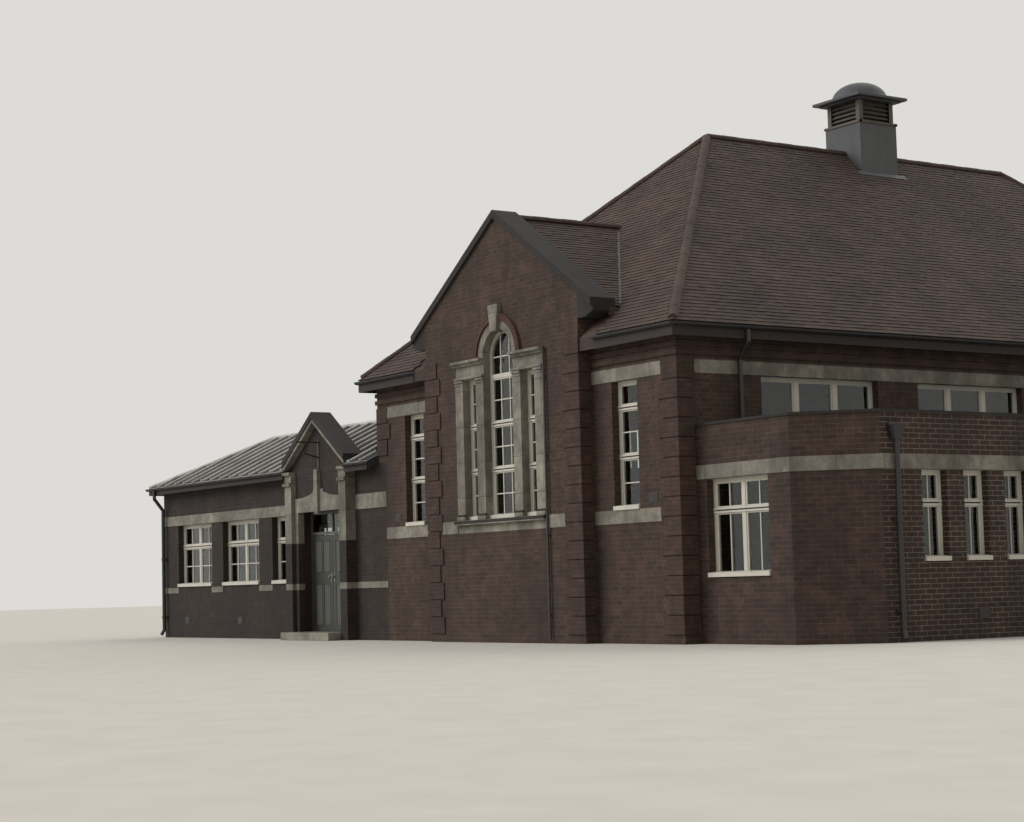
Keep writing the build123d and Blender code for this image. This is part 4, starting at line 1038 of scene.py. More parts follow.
@dataclass
class RoofTrim(Work):
    """Ridge and hip tiles of the hall and the bay, and the lead of the valleys and the ventilator's skirt.

    Attributes:
        radius: Radius of a ridge tile.
        length: Length of a ridge tile.
        sides: Faces round half a ridge tile.
        joint: Gap between two ridge tiles.
        bed: Height of the bed under them.
        curb: Half the stretch of the ridge that the ventilator takes.
        inset: How far a hip line starts in from the corner of the eaves, and above it.
        hip_top: Distance of its upper end from the end wall, and its height.
        bay_line: Start and end of the bay's ridge line.
        bay_lift: Height of that line over the bay's ridge.
        valley: Place along the building and height of the two ends of a valley.
        valley_half: Half the width of a valley.
        valley_start: How far up from its foot the lead starts.
        sheet: Thickness of the lead in the valleys.
        sheathing: Height where the boards of the two slopes meet.
        skirt: Distance of the lead skirt from the ridge.
        skirt_edges: Its upper and lower edge, down the slope.
        skirt_half: Half its length.
        skirt_faces: Heights of its two faces over the slope.
    """
    radius: float = 0.075
    length: float = 0.33
    sides: int = 6
    joint: float = 0.001
    bed: float = 0.005
    curb: float = 0.48
    inset: float = 0.045
    hip_top: tuple[float, float] = (4.50, 9.085)
    bay_line: tuple[float, float] = (0.25, 2.40)
    bay_lift: float = 0.015
    valley: tuple = ((0.31, 5.385), (2.407, 7.245))
    valley_half: float = 0.035
    valley_start: float = 0.08
    sheet: float = 0.012
    sheathing: float = 9.1005
    skirt: float = 0.5
    skirt_edges: tuple[float, float] = (-0.02, 0.11)
    skirt_half: float = 0.62
    skirt_faces: tuple[float, float] = (0.014, 0.036)

    def half_round(self, mesh: bmesh.types.BMesh, start: Vector, end: Vector) -> None:
        """Lay half-round tiles along a line, every second one a little larger.

        Args:
            mesh: The bmesh that they join.
            start: Lower end of the line.
            end: Upper end of the line.
        """
        run = end - start
        count = max(1, round(run.length / self.length))
        ahead = run.normalized()
        for index in range(count):
            place = along(start + run * (index / count), ahead)
            ring = bmesh.ops.create_circle(mesh, cap_ends=True, segments=2 * self.sides,
                                           radius=self.radius + 0.004 * (index % 2),
                                           matrix=place @ Matrix.Rotation(-pi / 2, 4, "X"))["verts"]
            low = [vertex for vertex in ring if (place.inverted() @ vertex.co).z < -0.02]
            bmesh.ops.translate(mesh, verts=low, vec=place.to_3x3() @ UP * (self.radius * 0.6))
            faces = list({face for vertex in ring for face in vertex.link_faces})
            made = bmesh.ops.extrude_face_region(mesh, geom=faces)["geom"]
            bmesh.ops.translate(mesh, verts=points_in(made), vec=ahead * (run.length / count - self.joint))

    def lines(self) -> list[tuple[tuple, tuple]]:
        """List the ridge and hip lines.

        Returns:
            Start and end of each line.
        """
        rear, middle, top = PLAN.hall_rear, PLAN.hall_rear / 2, PLAN.ridge
        corner, foot = PLAN.hall_half + PLAN.overhang - self.inset, PLAN.hall_eave + self.inset
        out, bay = PLAN.overhang - self.inset, PLAN.bay_apex + self.bay_lift
        found = [((0, PLAN.hall_half, top), (0, middle - self.curb, top)),
                 ((0, middle + self.curb, top), (0, rear - PLAN.hall_half, top)),
                 ((0, self.bay_line[0], bay), (0, self.bay_line[1], bay))]
        for side in (-1, 1):
            found.append(((side * corner, -out, foot), (0, *self.hip_top)))
            found.append(((side * corner, rear + out, foot), (0, rear - self.hip_top[0], self.hip_top[1])))
        return found

    def lead(self) -> None:
        """Line the valleys, and skirt the ventilator where it meets the slopes."""
        mesh = bmesh.new()
        (foot_y, foot_z), top = self.valley
        for side in (-1, 1):
            foot, head = Vector((side * PLAN.bay_half, foot_y, foot_z)), Vector((0, *top))
            block(mesh, (-self.valley_half, self.valley_start, 0.0),
                  (self.valley_half, (head - foot).length, self.sheet), along(foot, (head - foot).normalized()))
        pitch, (low, high) = radians(PLAN.hall_pitch), self.skirt_faces
        for side in (-1, 1):
            level = self.sheathing - self.skirt * tan(pitch)
            slope = Matrix.Translation((side * self.skirt, PLAN.hall_rear / 2, level))
            near, far = sorted(edge * side for edge in self.skirt_edges)
            block(mesh, (near, -self.skirt_half, low), (far, self.skirt_half, high),
                  slope @ Matrix.Rotation(side * pitch, 4, "Y"))
        self.piece("lead_valleys_and_skirt", mesh, Palette.LEAD, "lead")

    def build(self) -> None:
        """Lay every ridge, hip and valley."""
        mesh = bmesh.new()
        for start, end in self.lines():
            self.half_round(mesh, Vector(start) + UP * self.bed, Vector(end) + UP * self.bed)
        bmesh.ops.recalc_face_normals(mesh, faces=mesh.faces[:])
        self.piece("ridge_and_hip_tiles", mesh, Palette.RIDGE, "clay_tile")
        self.lead()


@dataclass
class SheetRoof(Work):
    """Cappings, roll ends, ridge and hip rolls of the wing's zinc roof, and the lead flashings.

    Attributes:
        pitch: Slope in degrees.
        eave_z: Height of the eave.
        front: Where the front eave lies.
        rear: Where the rear eave lies.
        left: Where the eave of the hip lies.
        right: Where the roof ends at the hall.
        spacing: Distance between rolls.
        half: Half the width of a capping.
        height: Height of a capping over the sheet.
        hem: How far a roll end stands over its capping.
        porch: Left and right edge of the porch gable.
        porch_back: Where the roof starts again behind it.
        ridge_radius: Radius of the ridge and hip rolls.
        flashing: Start and end of the flashing at the hall, up the slope.
    """
    pitch: float = PLAN.wing_pitch
    eave_z: float = PLAN.wing_eave
    front: float = -PLAN.overhang
    rear: float = PLAN.wing_rear + PLAN.overhang
    left: float = PLAN.wing_left - PLAN.overhang
    right: float = -PLAN.hall_half
    spacing: float = 0.46
    half: float = 0.031
    height: float = 0.05
    hem: float = 0.006
    porch: tuple[float, float] = PLAN.porch
    porch_back: float = 0.17
    ridge_radius: float = 0.045
    flashing: tuple[float, float] = (0.27, 2.33)

    def rolls(self) -> list[tuple[Matrix, float, float, float]]:
        """List the rolls of the three slopes.

        Returns:
            Frame of the slope, place along its eave, start and end up the slope of each roll.
        """
        stretch = 1 / cos(radians(self.pitch))
        tip = Matrix.Rotation(radians(self.pitch), 4, "X")
        half_span = (self.rear - self.front) / 2
        found = []
        for y, turn, sign in ((self.front, 0, 1), (self.rear, 180, -1)):
            place = Matrix.Translation((0, y, self.eave_z)) @ Matrix.Rotation(radians(turn), 4, "Z") @ tip
            for index in range(int((self.right - self.left) // self.spacing)):
                x = self.right - self.spacing * (index + 0.5)
                start = 0.0
                if sign > 0 and self.porch[0] < x < self.porch[1]:
                    start = (self.porch_back - self.front) * stretch
                found.append((place, sign * x, start, min(half_span, x - self.left) * stretch))
        place = Matrix.Translation((self.left, 0, self.eave_z)) @ Matrix.Rotation(radians(270), 4, "Z") @ tip
        for index in range(int(2 * half_span // self.spacing)):
            y = self.rear - self.spacing * (index + 0.5)
            found.append((place, -y, 0.0, min(y - self.front, self.rear - y) * stretch))
        return found

    def sheets(self) -> None:
        """Cap the rolls, close their ends and fold the sheet down at the eaves."""
        caps, ends = bmesh.new(), bmesh.new()
        for place, x, start, end in self.rolls():
            block(caps, (x - self.half, start, 0.0), (x + self.half, end, self.height), place)
            if start == 0:
                block(ends, (x - self.half - self.hem, -0.014, -0.045),
                      (x + self.half + self.hem, 0.03, self.height + self.hem), place)
        slope = Matrix.Rotation(radians(self.pitch), 4, "X")
        for spot, turn, low, high in (((0, self.front), 0, self.left, self.porch[0] - 0.003),
                                      ((0, self.front), 0, self.porch[1] + 0.003, self.right),
                                      ((0, self.rear), 180, -self.right, -self.left),
                                      ((self.left, 0), 270, -self.rear, -self.front)):
            place = Matrix.Translation((*spot, self.eave_z)) @ Matrix.Rotation(radians(turn), 4, "Z") @ slope
            block(ends, (low, -0.01, -0.03), (high, 0.012, 0.006), place)
        edges = [edge for edge in caps.edges if edge.calc_length() > 0.2]
        ease(caps, edges, 0.009)
        # Cappings and roll ends carry the painted highlight of the lit rolls.
        self.piece("roll_cappings", caps, Palette.ZINC_CAP_HIGHLIGHT, "zinc_sheet")
        self.piece("roll_ends", ends, Palette.ZINC_CAP_HIGHLIGHT, "zinc_sheet")

    def ridge(self) -> None:
        """Dress round rolls over the ridge and the hips."""
        middle = (self.front + self.rear) / 2
        rise = (middle - self.front) * tan(radians(self.pitch))
        ridge = bmesh.new()
        top = Vector((self.left + middle - self.front, middle, self.eave_z + rise))
        lines = [(top, Vector((self.right, middle, top.z)))]
        lines += [(Vector((self.left, y, self.eave_z)), top) for y in (self.front, self.rear)]
        for start, end in lines:
            tube(ridge, [start + UP * 0.02, end + UP * 0.02], self.ridge_radius, 10)
        # The ridge and hip rolls carry the same painted highlight.
        self.piece("wing_ridge_and_hip_rolls", ridge, Palette.ZINC_CAP_HIGHLIGHT, "zinc_sheet")

    def flashings(self) -> None:
        """Flash the hall's walls with lead over the roofs of wing and annex."""
        lead = bmesh.new()
        start, end = self.flashing
        tip = Matrix.Rotation(radians(self.pitch), 4, "X")
        for y, turn, sign in ((self.front, 0, 1), (self.rear, 180, -1)):
            foot = Matrix.Translation((self.right, y, self.eave_z)) @ Matrix.Rotation(radians(turn), 4, "Z")
            for reach, height in ((0.13, 0.012), (0.012, 0.15)):
                near, far = sorted((0.0, -reach * sign))
                block(lead, (near, start, 0.0), (far, end, height), foot @ tip)
        inner = PLAN.annex_front + 0.03
        block(lead, (PLAN.hall_half, inner, 2.95), (PLAN.hall_half + 0.008, PLAN.hall_rear - inner, 3.09))
        self.piece("lead_flashings", lead, Palette.LEAD, "lead")

    def build(self) -> None:
        """Make the cappings, the rolls and the flashings."""
        self.sheets()
        self.ridge()
        self.flashings()


@dataclass
class Rainwater(Work):
    """Half-round gutters on brackets, round pipes with collars, ears and a hopper, and eaves boards.

    Attributes:
        radius: Radius of a gutter.
        wall: Thickness of its metal.
        drop: How far its rim lies below the eave.
        clear: Distance of a gutter's middle from the eave.
        length: Length of one gutter casting.
        pipe: Radius of a pipe.
        out: Distance of a pipe's middle from the wall face.
        bracket_spacing: Distance between gutter brackets.
        collar_spacing: Distance between pipe collars.
        throw: How far a shoe leans out at its foot.
        shoe: Height of a shoe.
        neck: Distance of the pipe's head from the wall face, under a gutter.
        neck_drops: How far the two bends of that neck lie below its head.
        first_collar: Height of the first collar over the foot of a pipe.
        collar: Half the height of a collar, and how far it stands out from its pipe.
        ear: Half the width and half the height of the ears that hold it.
        rear_pipes: Distance of the pipes at the rear from the middle of the hall.
        wing_pipes: Place of the wing's pipes along its front and rear.
        rod: Place across the bay, distance from its face, and radius of the thin rod.
        annex_pipe: Place of the annex pipe along the building.
        hopper_levels: Foot, rim and top of its hopper.
        gap: Gap between a gutter or a board and a wall.
        board: Thickness of an eaves board.
    """
    radius: float = 0.054
    wall: float = 0.005
    drop: float = 0.014
    clear: float = 0.041
    length: float = 1.83
    pipe: float = 0.038
    out: float = 0.082
    bracket_spacing: float = 0.92
    collar_spacing: float = 1.3
    throw: float = 0.07
    shoe: float = 0.11
    neck: float = 0.29
    neck_drops: tuple[float, float] = (0.44, 0.18)
    first_collar: float = 0.39
    collar: tuple[float, float] = (0.03, 0.009)
    ear: tuple[float, float] = (0.075, 0.022)
    rear_pipes: float = 4.29
    wing_pipes: float = -14.08
    rod: tuple[float, float, float] = (1.405, 0.042, 0.02)
    annex_pipe: float = 1.49
    hopper_levels: tuple[float, float, float] = (2.9, 3.10, 3.13)
    gap: float = 0.005
    board: float = 0.015

    def trough(self, mesh: bmesh.types.BMesh, start: Vector, end: Vector, radius: float) -> None:
        """Draw the lower half of a round channel between two points.

        Args:
            mesh: The bmesh that it joins.
            start: Middle of the rim at one end.
            end: Middle of the rim at the other.
            radius: Radius of the channel.
        """
        ahead = (end - start).normalized()
        place = Matrix.Translation(start) @ Matrix((UP.cross(ahead), UP, ahead)).transposed().to_4x4()
        ring = bmesh.ops.create_circle(mesh, segments=16, radius=radius, matrix=place)["verts"]
        upper = [vertex for vertex in ring if (place.inverted() @ vertex.co).y > 0.001]
        lower = [vertex for vertex in ring if vertex not in upper]
        bmesh.ops.delete(mesh, geom=upper, context="VERTS")
        edges = list({edge for vertex in lower for edge in vertex.link_edges})
        made = bmesh.ops.extrude_edge_only(mesh, edges=edges)["geom"]
        bmesh.ops.translate(mesh, verts=points_in(made), vec=end - start)

    def gutters(self) -> None:
        """Hang the gutters of the hall and the wing."""
        hall, wing = PLAN.hall_eave - self.drop, PLAN.wing_eave - self.drop
        reach = PLAN.overhang + self.clear
        out, near, far = PLAN.hall_half + reach, -reach, PLAN.hall_rear + reach
        left, back = PLAN.wing_left - reach, PLAN.wing_rear + reach
        bay, join = PLAN.bay_half + self.gap, -PLAN.hall_half - self.gap
        porch_left, porch_right = PLAN.porch[0] - self.gap, PLAN.porch[1] + self.gap
        runs = [
            ((out, near, hall), (out, far, hall)), ((out, far, hall), (-out, far, hall)),
            ((-out, far, hall), (-out, near, hall)), ((-out, near, hall), (-bay, near, hall)),
            ((bay, near, hall), (out, near, hall)),
            ((left, near, wing), (porch_left, near, wing)), ((porch_right, near, wing), (join, near, wing)),
            ((left, back, wing), (left, near, wing)), ((join, back, wing), (left, back, wing)),
        ]
        mesh, iron = bmesh.new(), bmesh.new()
        for start, end in runs:
            start, end = Vector(start), Vector(end)
            ahead = (end - start).normalized()
            self.trough(mesh, start, end, self.radius - 0.003)
            length = (end - start).length
            for index in range(int(length / self.length)):
                foot = start + ahead * (self.length * (index + 0.5))
                self.trough(mesh, foot, foot + ahead * 0.07, self.radius)
            count = max(1, round(length / self.bracket_spacing))
            for index in range(count):
                foot = start + ahead * (length * (index + 0.5) / count)
                self.trough(iron, foot, foot + ahead * 0.025, self.radius + 0.004)
        bmesh.ops.solidify(mesh, geom=mesh.faces[:], thickness=self.wall)
        bmesh.ops.solidify(iron, geom=iron.faces[:], thickness=self.wall)
        self.piece("half_round_gutters", mesh, Palette.GUTTER, "black_iron", replaced=("gutters",))
        self.piece("gutter_brackets", iron, Palette.IRON, "black_iron")

    def pipes(self) -> None:
        """Fix the pipes to the walls."""
        mesh = bmesh.new()
        hall, wing, ground = PLAN.hall_eave, PLAN.wing_eave, 0.06
        runs = (
            ((PLAN.hall_half, 1.2), (1, 0), 0.0, hall, 3.01, self.throw),
            ((self.rear_pipes, PLAN.hall_rear), (0, 1), 0.022, hall, ground, self.throw),
            ((-self.rear_pipes, PLAN.hall_rear), (0, 1), 0.022, hall, ground, self.throw),
            ((self.wing_pipes, 0.0), (0, -1), 0.0, wing, ground, self.throw),
            ((self.wing_pipes, PLAN.wing_rear), (0, 1), 0.0, wing, ground, self.throw),
            ((PLAN.annex_side, self.annex_pipe), (1, 0), 0.0, 0.0, ground, 0.03),
        )
        for (x, y), (dx, dy), relief, eaves, foot, throw in runs:
            out = Vector((dx, dy, 0))
            wall = Vector((x, y, 0))
            near, far = wall + out * self.out, wall + out * self.neck
            top = eaves - 0.07 if eaves else self.hopper_levels[0] + 0.05
            path = [near + out * throw + UP * foot, near + UP * (foot + self.shoe)]
            if eaves:
                lower, upper = self.neck_drops
                path += [near + UP * (top - lower), far + UP * (top - upper), far + UP * top]
            else:
                path.append(near + UP * top)
            tube(mesh, path, self.pipe, 16)
            (half, proud), (wide, high) = self.collar, self.ear
            level = foot + self.first_collar
            while level < (top - 0.5 if eaves else top):
                tube(mesh, [near + UP * (level - half), near + UP * (level + half)], self.pipe + proud, 16)
                ear = Matrix.Translation(wall + UP * level) @ Matrix.Rotation(atan2(dy, dx) + pi / 2, 4, "Z")
                block(mesh, (-wide, -self.out + 0.02, -high), (wide, -relief, high), ear)
                level += self.collar_spacing
        self.hopper(mesh)
        x, near = self.rod[0], PLAN.bay_face - self.rod[1]
        tube(mesh, [Vector((x, near, ground)), Vector((x, near, 4.86))], self.rod[2], 12)
        for step in range(4):
            level = ground + 0.38 + step * self.collar_spacing
            block(mesh, (x - 0.025, near, level), (x + 0.025, PLAN.bay_face, level + 0.025))
        self.piece("round_pipes_and_hopper", mesh, Palette.IRON, "black_iron", replaced=("downpipes",))

    def hopper(self, mesh: bmesh.types.BMesh) -> None:
        """Set a tapered hopper with a rim on the pipe of the annex.

        Args:
            mesh: The bmesh that it joins.
        """
        wall, middle, (low, rim, high) = PLAN.annex_side, self.annex_pipe, self.hopper_levels
        head = block(mesh, (wall, middle - 0.12, low), (wall + 0.164, middle + 0.12, high))
        for vertex in head:
            if vertex.co.z < rim - 0.1:
                vertex.co.x = min(vertex.co.x, wall + 0.12)
                vertex.co.y = middle + (vertex.co.y - middle) * 0.6
        block(mesh, (wall, middle - 0.13, rim), (wall + 0.164, middle + 0.13, high))

    def fascias(self) -> None:
        """Nail boards along the eaves behind the gutters, near black as painted shade under them."""
        mesh = bmesh.new()
        front, half, thick = -PLAN.overhang, PLAN.hall_half + PLAN.overhang, self.board
        rear, back, left = PLAN.hall_rear - front, PLAN.wing_rear - front, PLAN.wing_left + front
        corner, bay, join = half + self.gap, PLAN.bay_half + self.gap, -PLAN.hall_half - self.gap
        porch_left, porch_right = PLAN.porch[0] - self.gap, PLAN.porch[1] + self.gap
        hall = ((-corner, -bay, front - thick, front), (bay, corner, front - thick, front),
                (-corner, corner, rear, rear + thick),
                (half, half + thick, front - 0.01, rear + 0.01),
                (-half - thick, -half, front - 0.01, rear + 0.01))
        wing = ((left - 0.01, porch_left, front - thick, front), (porch_right, join, front - thick, front),
                (left - 0.01, join, back, back + thick), (left - thick, left, front - 0.01, back + 0.01))
        for boards, low, eave in ((hall, 4.66, PLAN.hall_eave), (wing, 3.2, PLAN.wing_eave)):
            for x0, x1, y0, y1 in boards:
                block(mesh, (x0, y0, low), (x1, y1, eave - 0.002))
        self.piece("eaves_boards", mesh, Palette.DARK_EAVES_BOARD, "black_iron")

    def build(self) -> None:
        """Make the gutters, the pipes and the boards."""
        self.gutters()
        self.pipes()
        self.fascias()


@dataclass
class Ventilator(Work):
    """The cornice, dome, corner posts and curb of the louvred ventilator.

    Attributes:
        middle: Its middle on the ridge.
        cornice_z: Foot of the cornice.
        half: Half the width of the cornice.
        radius: Radius of the dome.
        rise: Height of the dome.
        steps: Faces round the dome.
        foot: Foot of the corner posts.
        post: Distance of a corner post from the middle.
        post_half: Half the width of a corner post.
        curb: Distance of the curb from the middle.
        curb_half: Half its width.
    """
    middle: tuple[float, float] = (0.0, PLAN.hall_rear / 2)
    cornice_z: float = 10.1205
    half: float = 0.65
    radius: float = 0.54
    rise: float = 0.36
    steps: int = 48
    foot: float = 9.7005
    post: float = 0.395
    post_half: float = 0.05
    curb: float = 0.47
    curb_half: float = 0.03

    def build(self) -> None:
        """Make the cornice and the dome, then the posts and the curb."""
        place = Matrix.Translation((*self.middle, self.cornice_z))
        mesh = bmesh.new()
        lip, top, neck = 0.035, 0.09, self.half - 0.1
        block(mesh, (-neck, -neck, 0), (neck, neck, lip), place)
        block(mesh, (-self.half, -self.half, lip), (self.half, self.half, top), place)
        ease(mesh, mesh.edges[:], 0.008, 2)
        outline = [Vector((self.radius + 0.07, 0, top - 0.002)), Vector((self.radius + 0.02, 0, top + 0.015))]
        outline += [Vector((self.radius * cos(step * pi / 20), 0, top + self.rise * sin(step * pi / 20)))
                    for step in range(1, 10)]
        outline.append(Vector((0.0, 0, top + self.rise)))
        points = [mesh.verts.new(place @ point) for point in outline]
        lines = [mesh.edges.new(pair) for pair in zip(points, points[1:])]
        bmesh.ops.spin(mesh, geom=points + lines, cent=place.translation, axis=(0, 0, 1), angle=2 * pi,
                       steps=self.steps, use_merge=True)
        bmesh.ops.remove_doubles(mesh, verts=mesh.verts[:], dist=0.0005)
        bmesh.ops.recalc_face_normals(mesh, faces=mesh.faces[:])
        made = self.piece("lead_dome_and_cornice", mesh, Palette.LEAD, "lead", replaced=("cupola_dome",))
        for face in made.data.polygons:
            face.use_smooth = face.center.z > self.cornice_z + top + 0.002
        self.posts()

    def posts(self) -> None:
        """Box the corners of the louvres, and lay a curb round their foot."""
        trim = bmesh.new()
        x, y = self.middle
        for dx in (-self.post, self.post):
            for dy in (-self.post, self.post):
                block(trim, (x + dx - self.post_half, y + dy - self.post_half, self.foot),
                      (x + dx + self.post_half, y + dy + self.post_half, self.cornice_z))
        low, high, reach = self.foot - 0.03, self.foot + 0.015, self.curb + self.curb_half
        for aside in (-self.curb, self.curb):
            near, far = aside - self.curb_half, aside + self.curb_half
            block(trim, (x - reach, y + near, low), (x + reach, y + far, high))
            block(trim, (x + near, y - reach, low), (x + far, y + reach, high))
        self.piece("louvre_posts_and_curb", trim, Palette.LOUVRE, "white_joinery")


@dataclass
class Entrance(Work):
    """Boards, beads and handles of the two door leaves.

    Attributes:
        middle: Middle of the doorway.
        face: Depth of the front of the leaves.
        panel: Depth of the sunk panels behind it.
        columns: Left and right edges of the panels of the right leaf, from the middle.
        rows: Foot and head of the panels.
        boards: Boards in one panel.
        bead: Width of the bead round a panel.
        knob: Distance of the knob from the middle of the doorway, and its height.
    """
    middle: float = -6.66
    face: float = 0.17
    panel: float = 0.014
    columns: tuple = ((0.1145, 0.38325), (0.43825, 0.707))
    rows: tuple = ((0.269, 1.09), (1.31, 1.941))
    boards: int = 3
    bead: float = 0.016
    knob: tuple[float, float] = (0.062, 1.225)

    def leaf(self, body: str, side: int) -> None:
        """Board and bead one leaf.

        Args:
            body: The CAD body of the leaf.
            side: One for the right leaf, minus one for the left.
        """
        boards, beads = bmesh.new(), bmesh.new()
        for x0, x1 in self.columns:
            left, right = sorted((self.middle + side * x0, self.middle + side * x1))
            wide = (right - left) / self.boards
            for low, high in self.rows:
                for index in range(self.boards):
                    block(boards, (left + index * wide + 0.002, self.face + 0.005, low),
                          (left + (index + 1) * wide - 0.002, self.face + self.panel, high))
                for near, far, foot, head in (
                    (left, left + self.bead, low, high), (right - self.bead, right, low, high),
                    (left, right, low, low + self.bead), (left, right, high - self.bead, high),
                ):
                    block(beads, (near, self.face - 0.004, foot), (far, self.face + self.panel, head))
        edges = [edge for edge in boards.edges if abs(edge.verts[0].co.z - edge.verts[1].co.z) > 0.1
                 and edge.verts[0].co.y < self.face + 0.01]
        ease(boards, edges, 0.004)
        name = body.replace("door", "leaf")
        self.piece(f"{name}_boards", boards, Palette.DOOR_PANEL, "door_timber", body=body)
        self.piece(f"{name}_beads", beads, Palette.DOOR_PAINT, "door_timber", body=body)
        iron = bmesh.new()
        x, level = self.middle + side * self.knob[0], self.knob[1]
        block(iron, (x - 0.022, self.face - 0.005, 1.12), (x + 0.022, self.face, 1.30))
        tube(iron, [Vector((x, self.face, level)), Vector((x, self.face - 0.042, level))], 0.009, 12)
        flat = Matrix.Translation((x, self.face - 0.052, level)) @ Matrix.Diagonal((1, 0.75, 1, 1))
        bmesh.ops.create_uvsphere(iron, u_segments=16, v_segments=10, radius=0.027, matrix=flat)
        self.piece(f"{name}_handle", iron, Palette.BRIGHT_IRON, "black_iron", body=body)

    def build(self) -> None:
        """Make both leaves."""
        self.leaf("door_left", -1)
        self.leaf("door_right", 1)


@dataclass
class Dressings(Work):
    """Gauged bricks of the arch, pilaster mouldings, the annex capping and air bricks.

    Attributes:
        springing: Height of the springing of the arch.
        ring: Inner and outer radius of the ring of bricks.
        step: Angle of one brick in degrees.
        clear: Angle that the keystone covers on either side, in degrees.
        brick: Half the width of an arch brick, and how far it stands out.
        pilasters: Left edges of the pilasters.
        pilaster_width: Width of a pilaster.
        mouldings: Foot, head and relief of the mouldings of a pilaster, from the base up.
        grating: Width, height and relief of an air brick.
        canted: Front end and side end of the annex's canted corner.
        capping: Outer and inner edge of the annex capping, measured out from the wall face.
        capping_foot: Height of its foot.
    """
    springing: float = 4.86
    ring: tuple[float, float] = (0.597, 0.713)
    step: float = 6.6
    clear: float = 10.5
    brick: tuple[float, float] = (0.031, 0.052)
    pilasters: tuple = (-1.335, -0.685, 0.445, 1.095)
    pilaster_width: float = 0.24
    mouldings: tuple = ((2.095, 2.16, 0.040), (4.44, 4.47, 0.034), (4.49, 4.53, 0.045))
    grating: tuple[float, float, float] = (0.224, 0.15, 0.008)
    canted: tuple[float, float] = (6.635, 1.25)
    capping: tuple[float, float] = (0.02, -0.36)
    capping_foot: float = 3.3

    def arch(self) -> None:
        """Lay the bricks of the arch, each on its own radius."""
        mesh = bmesh.new()
        place = Matrix.Translation((0, PLAN.bay_face, self.springing))
        (inner, outer), (half, proud) = self.ring, self.brick
        for side in (-1, 1):
            for index in range(int((90 - self.clear) / self.step)):
                angle = radians(side * (self.clear + self.step * (index + 0.5)))
                made = block(mesh, (-half, -proud, inner), (half, 0.0, outer),
                             place @ Matrix.Rotation(angle, 4, "Y"))
                for vertex in made:
                    where = vertex.co - UP * self.springing
                    if where.length > (inner + outer) / 2:
                        flat = Vector((where.x, 0, where.z))
                        ahead = Vector((sin(angle), 0, cos(angle)))
                        vertex.co += (flat - ahead * flat.dot(ahead)) * 0.18
        ease(mesh, mesh.edges[:], 0.003)
        self.piece("arch_bricks", mesh, Palette.ARCH_BRICK, "dark_brick")

    def mould_pilasters(self) -> None:
        """Give the pilasters of the bay window a cap and a base, and paint shade as dark strips over the sill
        and above the bases.
        """
        mesh, shade_strips = bmesh.new(), bmesh.new()
        face, wide = PLAN.bay_face, self.pilaster_width
        # Painted shade: a dark strip over the sill and dark bands above the pilaster bases.
        block(shade_strips, (-1.368, face - 0.094, 2.035), (1.368, face, 2.085))
        for start in self.pilasters:
            for low, high, proud in self.mouldings:
                block(mesh, (start - 0.006, face - proud, low), (start + wide + 0.006, face, high))
            block(shade_strips, (start - 0.004, face - 0.036, 2.16), (start + wide + 0.004, face, 2.195))
        for start in (-1.341, 0.445):
            block(mesh, (start, face - 0.05, 4.54), (start + 0.896, face, 4.58))
        ease(mesh, mesh.edges[:], 0.006, 2)
        self.piece("pilaster_caps_and_bases", mesh, Palette.STONE, "dressed_stone")
        self.piece("painted_shade_strips_at_mouldings", shade_strips, Palette.COPING_AND_SHADE, "dark_coping")

    def cap_annex(self) -> None:
        """Cap the parapet of the annex with one strip, mitred at the canted corners."""
        mesh = bmesh.new()
        lines = []
        for out in self.capping:
            turn, front = out * tan(radians(22.5)), PLAN.annex_front - out
            near = [(PLAN.hall_half + 0.005, front), (self.canted[0] + turn, front),
                    (PLAN.annex_side + out, self.canted[1] - turn)]
            whole = near + [(x, PLAN.hall_rear - y) for x, y in near[::-1]]
            lines.append([mesh.verts.new((x, y, self.capping_foot)) for x, y in whole])
        outer, inner = lines
        strips = [mesh.faces.new(corners) for corners in zip(outer, outer[1:], inner[1:], inner)]
        made = bmesh.ops.extrude_face_region(mesh, geom=strips)["geom"]
        bmesh.ops.translate(mesh, verts=points_in(made), vec=UP * 0.04)
        bmesh.ops.recalc_face_normals(mesh, faces=mesh.faces[:])
        self.piece("annex_parapet_capping", mesh, Palette.COPING_AND_SHADE, "dark_coping")

    def vents(self) -> None:
        """Set air bricks in the walls, high in the hall's front and low elsewhere."""
        mesh = bmesh.new()
        spots = [(Face.FRONT, x, 2.18) for x in (-3.805, 3.87)] + [(Face.FRONT, x, 0.3) for x in (-13.0, -10.4)]
        spots += [(Face.ANNEX_SIDE, 3.2 + 3.4 * index, 0.3) for index in range(4)]
        (width, height, relief), margin = self.grating, 0.017
        half = width / 2
        for face, x, foot in spots:
            place = face.value.place()
            block(mesh, (x - half, -relief, foot), (x + half, 0.0, foot + height), place)
            for row in range(4):
                low = foot + 0.02 + row * 0.03
                block(mesh, (x - half + margin, -2 * relief, low),
                      (x + half - margin, -relief, low + 0.012), place)
        self.piece("air_bricks", mesh, Palette.IRON, "black_iron")

    def build(self) -> None:
        """Make all of the small masonry."""
        self.arch()
        self.mould_pilasters()
        self.cap_annex()
        self.vents()


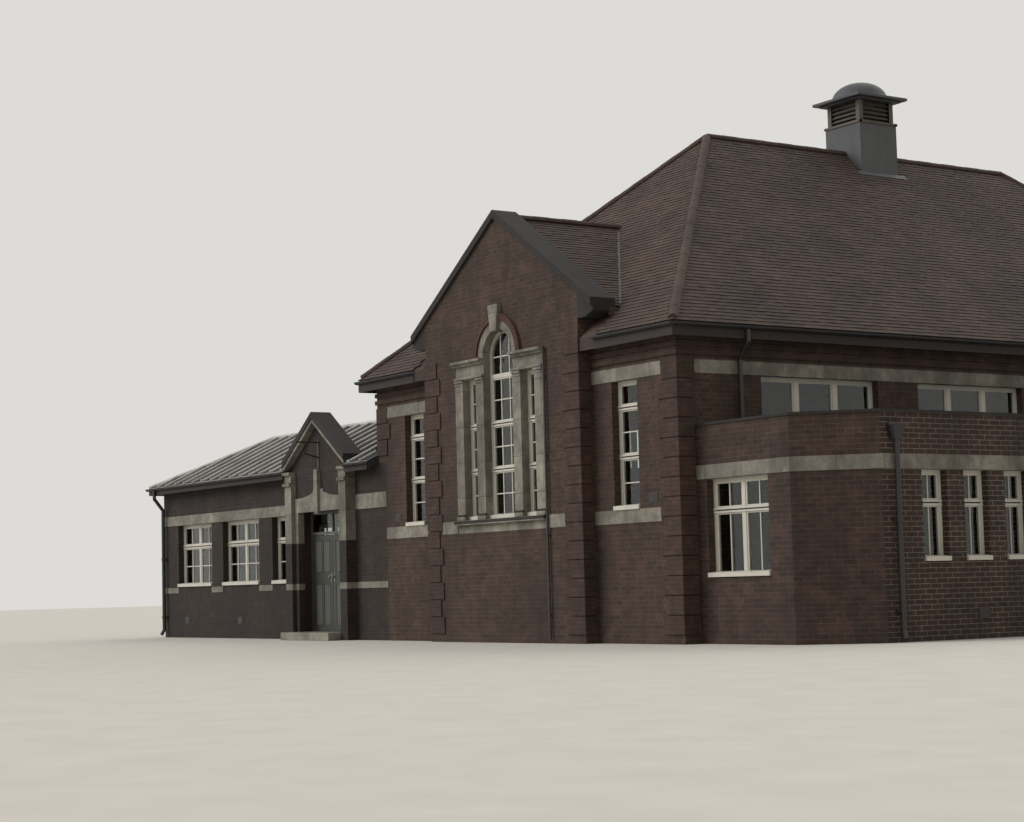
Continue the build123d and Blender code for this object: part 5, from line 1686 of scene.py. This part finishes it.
@dataclass
class Studio:
    """Camera, lamps and floor.

    Attributes:
        eye: Where the camera stands.
        azimuth: How far the view turns from +Y towards -X, in degrees.
        pitch: How far the view looks up, in degrees.
        roll: Lean of the camera about its own axis, in degrees.
        lens: Focal length on a 36 mm wide sensor.
    """
    eye: tuple[float, float, float] = (28.8815, -19.4573, 0.93)
    azimuth: float = 56.012
    pitch: float = 4.897
    roll: float = -1.476
    lens: float = 72.18

    def camera(self) -> None:
        """Stand the camera at the view of the photograph."""
        data = bpy.data.cameras.new("view")
        data.lens = self.lens
        data.sensor_width = 36.0
        data.clip_end = 300.0
        seat = bpy.data.objects.new("view", data)
        level = radians(self.pitch)
        turn = radians(self.azimuth)
        ahead = Vector((-sin(turn) * cos(level), cos(turn) * cos(level), sin(level)))
        aim = ahead.to_track_quat("-Z", "Y").to_matrix() @ Matrix.Rotation(radians(self.roll), 3, "Z")
        seat.matrix_world = Matrix.Translation(self.eye) @ aim.to_4x4()
        bpy.context.scene.collection.objects.link(seat)
        bpy.context.scene.camera = seat

    def lamp(self, name: str, way: tuple, strength: float, spread: float) -> None:
        """Shine a wide soft lamp over everything.

        Args:
            name: Name of the lamp.
            way: Direction that its light travels.
            strength: Light on a face that looks at it, in watts a square metre.
            spread: Apparent width of the lamp in degrees.
        """
        data = bpy.data.lights.new(name, "SUN")
        data.energy = strength
        data.angle = radians(spread)
        lamp = bpy.data.objects.new(name, data)
        lamp.matrix_world = Vector(way).to_track_quat("-Z", "Y").to_matrix().to_4x4()
        bpy.context.scene.collection.objects.link(lamp)

    def floor(self) -> None:
        """Lay a wide pale floor under the building."""
        shape = bmesh.new()
        bmesh.ops.create_grid(shape, size=150)
        data = bpy.data.meshes.new("studio_floor")
        shape.to_mesh(data)
        shape.free()
        ground = bpy.data.objects.new("studio_floor", data)
        ground.location.z = -0.002
        data.materials.append(Finish("pale_studio_floor", "cfcac0", 0.9, depth=0.0).build())
        bpy.context.scene.collection.objects.link(ground)

    def sky(self) -> None:
        """Light everything softly from all round, and show white behind the building."""
        world = bpy.data.worlds.new("studio")
        bpy.context.scene.world = world
        world.use_nodes = True
        tree = world.node_tree
        paths = node(tree, "ShaderNodeLightPath")
        seen = node(tree, "ShaderNodeMath",
                    {0: paths.outputs["Is Camera Ray"], 1: paths.outputs["Is Glossy Ray"]}, operation="MAXIMUM")
        clear = node(tree, "ShaderNodeMath", {0: seen.outputs[0], 1: paths.outputs["Is Transmission Ray"]},
                     operation="MAXIMUM")
        strength = node(tree, "ShaderNodeMapRange", {"Value": clear.outputs[0], 3: 0.36, 4: 0.82})
        back = tree.nodes["Background"]
        back.inputs["Color"].default_value = linear("f2f0ec")
        tree.links.new(strength.outputs[0], back.inputs["Strength"])

    def build(self) -> None:
        """Set everything up."""
        self.camera()
        self.floor()
        self.sky()
        self.lamp("key_lamp", (0.6, 1.0, -0.75), 1.9, 45.0)
        self.lamp("side_lamp", (-1.0, 0.25, -0.9), 0.3, 60.0)
        self.lamp("back_lamp", (0.3, -1.0, -0.9), 0.9, 60.0)
        bpy.context.scene.view_settings.view_transform = "Standard"


def main() -> None:
    """Build every part of the scene in order."""
    logging.basicConfig(level=logging.INFO, format="%(message)s")
    walls = Walls()
    walls.dress()
    works = (TiledRoof(), RoofTrim(), SheetRoof(), Joinery(), Rainwater(), Ventilator(), Entrance(),
             Dressings())
    for work in works:
        work.build()
        work.report()
    Studio().build()


if __name__ == "__main__":
    main()
